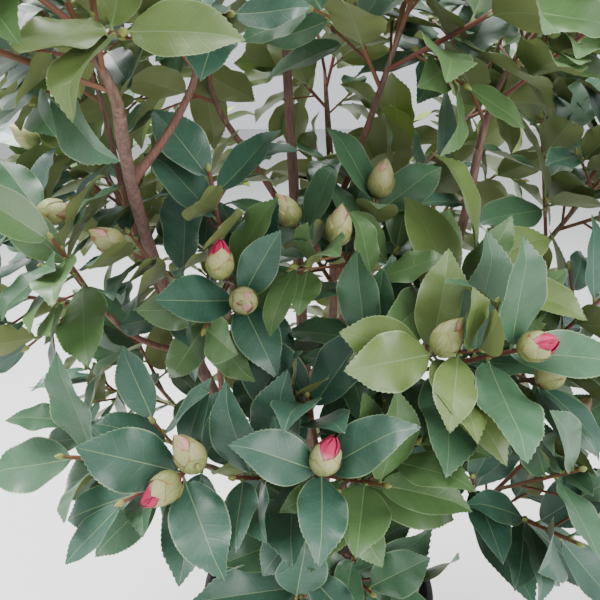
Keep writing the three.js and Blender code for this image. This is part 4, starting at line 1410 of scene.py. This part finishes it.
def pot_material(colour):
    """Blow-moulded black polyethylene: a satin, slightly waxy sheen with fine grain and dull water marks."""
    material, tree, shader = new_material(
        "blow-moulded black polyethylene", Base_Color=opaque(colour[:3]), Specular_IOR_Level=0.32
    )
    spot = add_node(tree, "ShaderNodeTexCoord")
    # Water marks are about 20 mm wide; the plastic's grain is finer than 0.9 mm and is drawn so to show
    marks = add_node(
        tree, "ShaderNodeTexNoise", {"Vector": spot.outputs["Object"], "Scale": 1 / (22 * MM), "Detail": 6.0}
    )
    dull = add_node(
        tree,
        "ShaderNodeMapRange",
        {"Value": marks.outputs[0], "From Min": 0.3, "From Max": 0.7, "To Min": 0.34, "To Max": 0.56},
    )
    grain = add_node(
        tree, "ShaderNodeTexNoise", {"Vector": spot.outputs["Object"], "Scale": 1 / (0.9 * MM), "Detail": 2.0}
    )
    bump = add_node(
        tree, "ShaderNodeBump", {"Height": grain.outputs[0], "Strength": 0.3, "Distance": 0.1 * MM}
    )
    tree.links.new(dull.outputs[0], shader.inputs["Roughness"])
    tree.links.new(bump.outputs[0], shader.inputs["Normal"])
    return material


def mix_materials():
    """Moist peat, bark chips in two browns, and pale grit."""
    # Peat, chips and grit are rough and give no shine, and the damp peat is the darkest of them
    peat, tree, shader = new_material("moist peat", Base_Color=opaque(linear("#2b2019")), Roughness=0.95)
    spot = add_node(tree, "ShaderNodeTexCoord")
    crumb = add_node(
        tree, "ShaderNodeTexNoise", {"Vector": spot.outputs["Object"], "Scale": 1 / (3 * MM), "Detail": 5.0}
    )
    bump = add_node(
        tree, "ShaderNodeBump", {"Height": crumb.outputs[0], "Strength": 1.0, "Distance": 1.5 * MM}
    )
    tree.links.new(bump.outputs[0], shader.inputs["Normal"])
    colours = (("bark chip", "#5b3d28"), ("weathered bark chip", "#7b6652"), ("grit", "#a69c8b"))
    loose = [new_material(name, Base_Color=opaque(linear(c)), Roughness=0.9)[0] for name, c in colours]
    return [peat, *loose]


# Settings, as the panel shows them

SHARE = {"min": 0, "max": 1, "subtype": "FACTOR"}


class LeafSettings(bpy.types.PropertyGroup):
    """How the leaves look."""

    roughness: bpy.props.FloatProperty(
        name="Roughness", description="Roughness of the upper face", default=0.42, **SHARE
    )
    wax: bpy.props.FloatProperty(
        name="Wax", description="Strength of the waxy coat", default=0.25, **SHARE
    )
    veins: bpy.props.FloatProperty(
        name="Veins", description="How far the side veins pale", default=0.07, **SHARE
    )
    dust: bpy.props.FloatProperty(
        name="Dust", description="How far the specks of dust pale", default=0.09, **SHARE
    )


class BarkSettings(bpy.types.PropertyGroup):
    """How the bark looks."""

    roughness: bpy.props.FloatProperty(
        name="Roughness", description="Roughness of the bark", default=0.8, **SHARE
    )


class PotSettings(bpy.types.PropertyGroup):
    """How the pot looks."""

    colour: bpy.props.FloatVectorProperty(
        name="Colour",
        description="Colour of the plastic",
        default=(0.013, 0.012, 0.015),
        size=3,
        subtype="COLOR",
    )


class CAMELLIA_OT_bark(bpy.types.Operator):
    """Puts bark on the trunk, the stems and the boughs"""

    bl_idname = "camellia.bark"
    bl_label = "Bark"

    def execute(self, context):
        limbs, _ = plant()
        roughness = context.scene.camellia_bark.roughness
        old = wood_material("camellia bark", ("#6b504a", "#87695f"), 3.2, roughness, 0.6)
        young = wood_material("young camellia bark", ("#684640", "#805a4b"), 2.6, roughness, 0.4)
        for number, (name, parent, *_) in enumerate(LIMBS):
            patch = bark_patch(name, limbs[name], limbs.get(parent), number)
            piece(f"bark_{name}", [patch], [young if name.startswith("bough") else old], [name])
        return {"FINISHED"}


class CAMELLIA_OT_twigs(bpy.types.Operator):
    """Grows the leaders, shoots and side twigs with their small buds"""

    bl_idname = "camellia.twigs"
    bl_label = "Twigs"

    def execute(self, context):
        _, masses = plant()
        patches = []
        for mass in masses:
            radii = (mass.limb.radius_at(1), LEADER_TIP_RADIUS)
            patches.append(twig_patch(mass.leader, radii, 9, 14))
            draw = seeded(mass.seed + TONE_SEED_STEP)
            for shoot in [*mass.shoots, *mass.twigs]:
                radii, sides = (SIDE_RADII, 6) if shoot in mass.twigs else (SHOOT_WOOD_RADII, 8)
                tone = 1 if next(draw) < BROWN_SHARE else 2
                patches += shoot_patches(shoot, mass.leaves, radii, sides, tone)
        # A two-year-old twig has thin, streaked bark; shoots and leaf buds are smooth, with a dull sheen
        leader = wood_material("two-year-old twig", ("#61443a", "#84695a"), 3, 0.75, 0.25)
        shades = (("brown shoot", "#7a5138"), ("red-brown shoot", "#744236"), ("leaf bud", "#8d9150"))
        shoots = [new_material(name, Base_Color=opaque(linear(c)), Roughness=0.6)[0] for name, c in shades]
        piece("twigs", patches, [leader, *shoots])
        return {"FINISHED"}


class CAMELLIA_OT_leaves(bpy.types.Operator):
    """Sets toothed, folded leaves along every shoot and side twig"""

    bl_idname = "camellia.leaves"
    bl_label = "Leaves"

    def execute(self, context):
        _, masses = plant()
        materials = leaf_materials(context.scene.camellia_leaves)
        for mass in masses:
            draw = seeded(mass.seed + OUTLINE_SEED_STEP)
            sprays = (*mass.shoots, mass.leader)
            tones = {}
            for spray in sprays:
                tones[spray] = FIRST_GREEN + int(np.searchsorted(LEAF_GREEN_SHARES, next(draw)))
            rows = math.ceil(math.sqrt(2 * len(mass.leaves) * BAKE_TILE))
            tiles = (math.ceil(2 * len(mass.leaves) / rows), rows)
            patches = [
                leaf_patch(leaf, draw, tones[leaf.spray], number, tiles)
                for number, leaf in enumerate(mass.leaves)
            ]
            piece(f"foliage_{mass.name}", patches, materials, [f"leaves_{mass.name}"])
        return {"FINISHED"}


class CAMELLIA_OT_buds(bpy.types.Operator):
    """Wraps the flower buds in scales, with petals at the tips of those that open"""

    bl_idname = "camellia.buds"
    bl_label = "Flower buds"

    def execute(self, context):
        _, masses = plant()
        shoots = [shoot for mass in masses for shoot in mass.shoots if shoot.budded]
        columns = math.ceil(math.sqrt(len(shoots) * (SCALES + PETALS + 1)))
        patches = []
        for number, shoot in enumerate(shoots):
            patches += bud_patches(shoot, number, (columns, columns))
        piece("flower_buds", patches, bud_materials())
        return {"FINISHED"}


class CAMELLIA_OT_pot(bpy.types.Operator):
    """Turns the pot with its band and lip, and opens its drain holes"""

    bl_idname = "camellia.pot"
    bl_label = "Pot"

    def execute(self, context):
        material = pot_material(context.scene.camellia_pot.colour)
        body = lathe_patch(pot_outline(), POT_SIDES)
        made = piece("nursery_pot", [body], [material], ["pot"])
        without_holes(made, [drain_cutter(number) for number in range(DRAIN_HOLES)])
        return {"FINISHED"}


class CAMELLIA_OT_mix(bpy.types.Operator):
    """Fills the pot with potting mix, chips of bark and grit"""

    bl_idname = "camellia.mix"
    bl_label = "Potting mix"

    def execute(self, context):
        patches = [soil_patch()]
        for number, (place, size, up, draw) in enumerate(scatter(CHIPS, CHIP_SEED, CHIP_SIZES)):
            patches.append(chip_patch(place, size, up, draw, 1 + number % 2))
        for place, size, up, draw in scatter(GRAINS, GRAIN_SEED, GRAIN_SIZES):
            patches.append(egg_patch(place - up * size * 0.6, up, size * 1.6, size, sides=6, rings=3, slot=3))
        piece("mix_surface", patches, mix_materials(), ["potting_mix"])
        return {"FINISHED"}


# Stage, in metres, with the focal length counted in the picture's pixels

FLOOR_HALF = 8
FLOOR_DROP = 0.0003
SENSOR = 36
FOCAL_PIXELS = 602
PICTURE_PIXELS = 600
CAMERA_PLACE = (-0.024, -0.60, 0.925)
CAMERA_TILT = 68 * DEGREE
LAMP_AIM = (0, 0, 0.7)
LAMPS = (("key", (-0.8, 0.5, 2.7), 2.4, 300), ("fill", (1.4, -1.8, 1.7), 2.0, 55))


class CAMELLIA_OT_stage(bpy.types.Operator):
    """Sets the floor, the soft studio light and the camera"""

    bl_idname = "camellia.stage"
    bl_label = "Stage"

    def execute(self, context):
        scene = context.scene
        floor_mesh = bpy.data.meshes.new("floor")
        places = ((-1, -1), (1, -1), (1, 1), (-1, 1))
        corners = [(x * FLOOR_HALF, y * FLOOR_HALF, -FLOOR_DROP) for x, y in places]
        floor_mesh.from_pydata(corners, [], [(0, 1, 2, 3)])
        # Matt and pale, so that it only takes the plant's soft shadow
        material, _, _ = new_material("pale floor", Base_Color=opaque(linear("#c9cbc8")), Roughness=0.85)
        floor_mesh.materials.append(material)
        floor = bpy.data.objects.new("floor", floor_mesh)
        scene.collection.objects.link(floor)
        world = bpy.data.worlds.new("studio")
        world.use_nodes = True
        background = world.node_tree.nodes["Background"]
        background.inputs["Color"].default_value = (0.92, 0.96, 1.0, 1.0)
        background.inputs["Strength"].default_value = 0.95
        scene.world = world
        for name, place, size, power in LAMPS:
            lamp = bpy.data.lights.new(name, "AREA")
            lamp.shape, lamp.size, lamp.energy = "DISK", size, power
            made = bpy.data.objects.new(name, lamp)
            made.location = place
            made.rotation_euler = (Vector(LAMP_AIM) - Vector(place)).to_track_quat("-Z", "Y").to_euler()
            scene.collection.objects.link(made)
        lens = bpy.data.cameras.new("camera")
        lens.sensor_width, lens.lens = SENSOR, SENSOR * FOCAL_PIXELS / PICTURE_PIXELS
        camera = bpy.data.objects.new("camera", lens)
        camera.location, camera.rotation_euler = CAMERA_PLACE, (CAMERA_TILT, 0, 0)
        scene.collection.objects.link(camera)
        scene.camera = camera
        return {"FINISHED"}


class CAMELLIA_PT_panel(bpy.types.Panel):
    """The camellia's settings and pieces"""

    bl_label = "Camellia"
    bl_idname = "CAMELLIA_PT_panel"
    bl_space_type = "VIEW_3D"
    bl_region_type = "UI"
    bl_category = "Camellia"

    def draw(self, context):
        for group, names in (
            (context.scene.camellia_leaves, ("roughness", "wax", "veins", "dust")),
            (context.scene.camellia_bark, ("roughness",)),
            (context.scene.camellia_pot, ("colour",)),
        ):
            for name in names:
                self.layout.prop(group, name)
        for operator in OPERATORS:
            self.layout.operator(operator.bl_idname)


GROUPS = (LeafSettings, BarkSettings, PotSettings)
OPERATORS = (
    CAMELLIA_OT_bark,
    CAMELLIA_OT_twigs,
    CAMELLIA_OT_leaves,
    CAMELLIA_OT_buds,
    CAMELLIA_OT_pot,
    CAMELLIA_OT_mix,
    CAMELLIA_OT_stage,
)


def register():
    """Adds the settings, operators and panel."""
    for added in (*GROUPS, *OPERATORS, CAMELLIA_PT_panel):
        bpy.utils.register_class(added)
    bpy.types.Scene.camellia_leaves = bpy.props.PointerProperty(type=LeafSettings)
    bpy.types.Scene.camellia_bark = bpy.props.PointerProperty(type=BarkSettings)
    bpy.types.Scene.camellia_pot = bpy.props.PointerProperty(type=PotSettings)


def unregister():
    """Takes them away again."""
    for name in ("camellia_leaves", "camellia_bark", "camellia_pot"):
        delattr(bpy.types.Scene, name)
    for added in reversed((*GROUPS, *OPERATORS, CAMELLIA_PT_panel)):
        bpy.utils.unregister_class(added)


def main():
    """Builds every piece in order."""
    register()
    bpy.ops.camellia.bark()
    bpy.ops.camellia.twigs()
    bpy.ops.camellia.leaves()
    bpy.ops.camellia.buds()
    bpy.ops.camellia.pot()
    bpy.ops.camellia.mix()
    bpy.ops.camellia.stage()


if __name__ == "__main__":
    main()
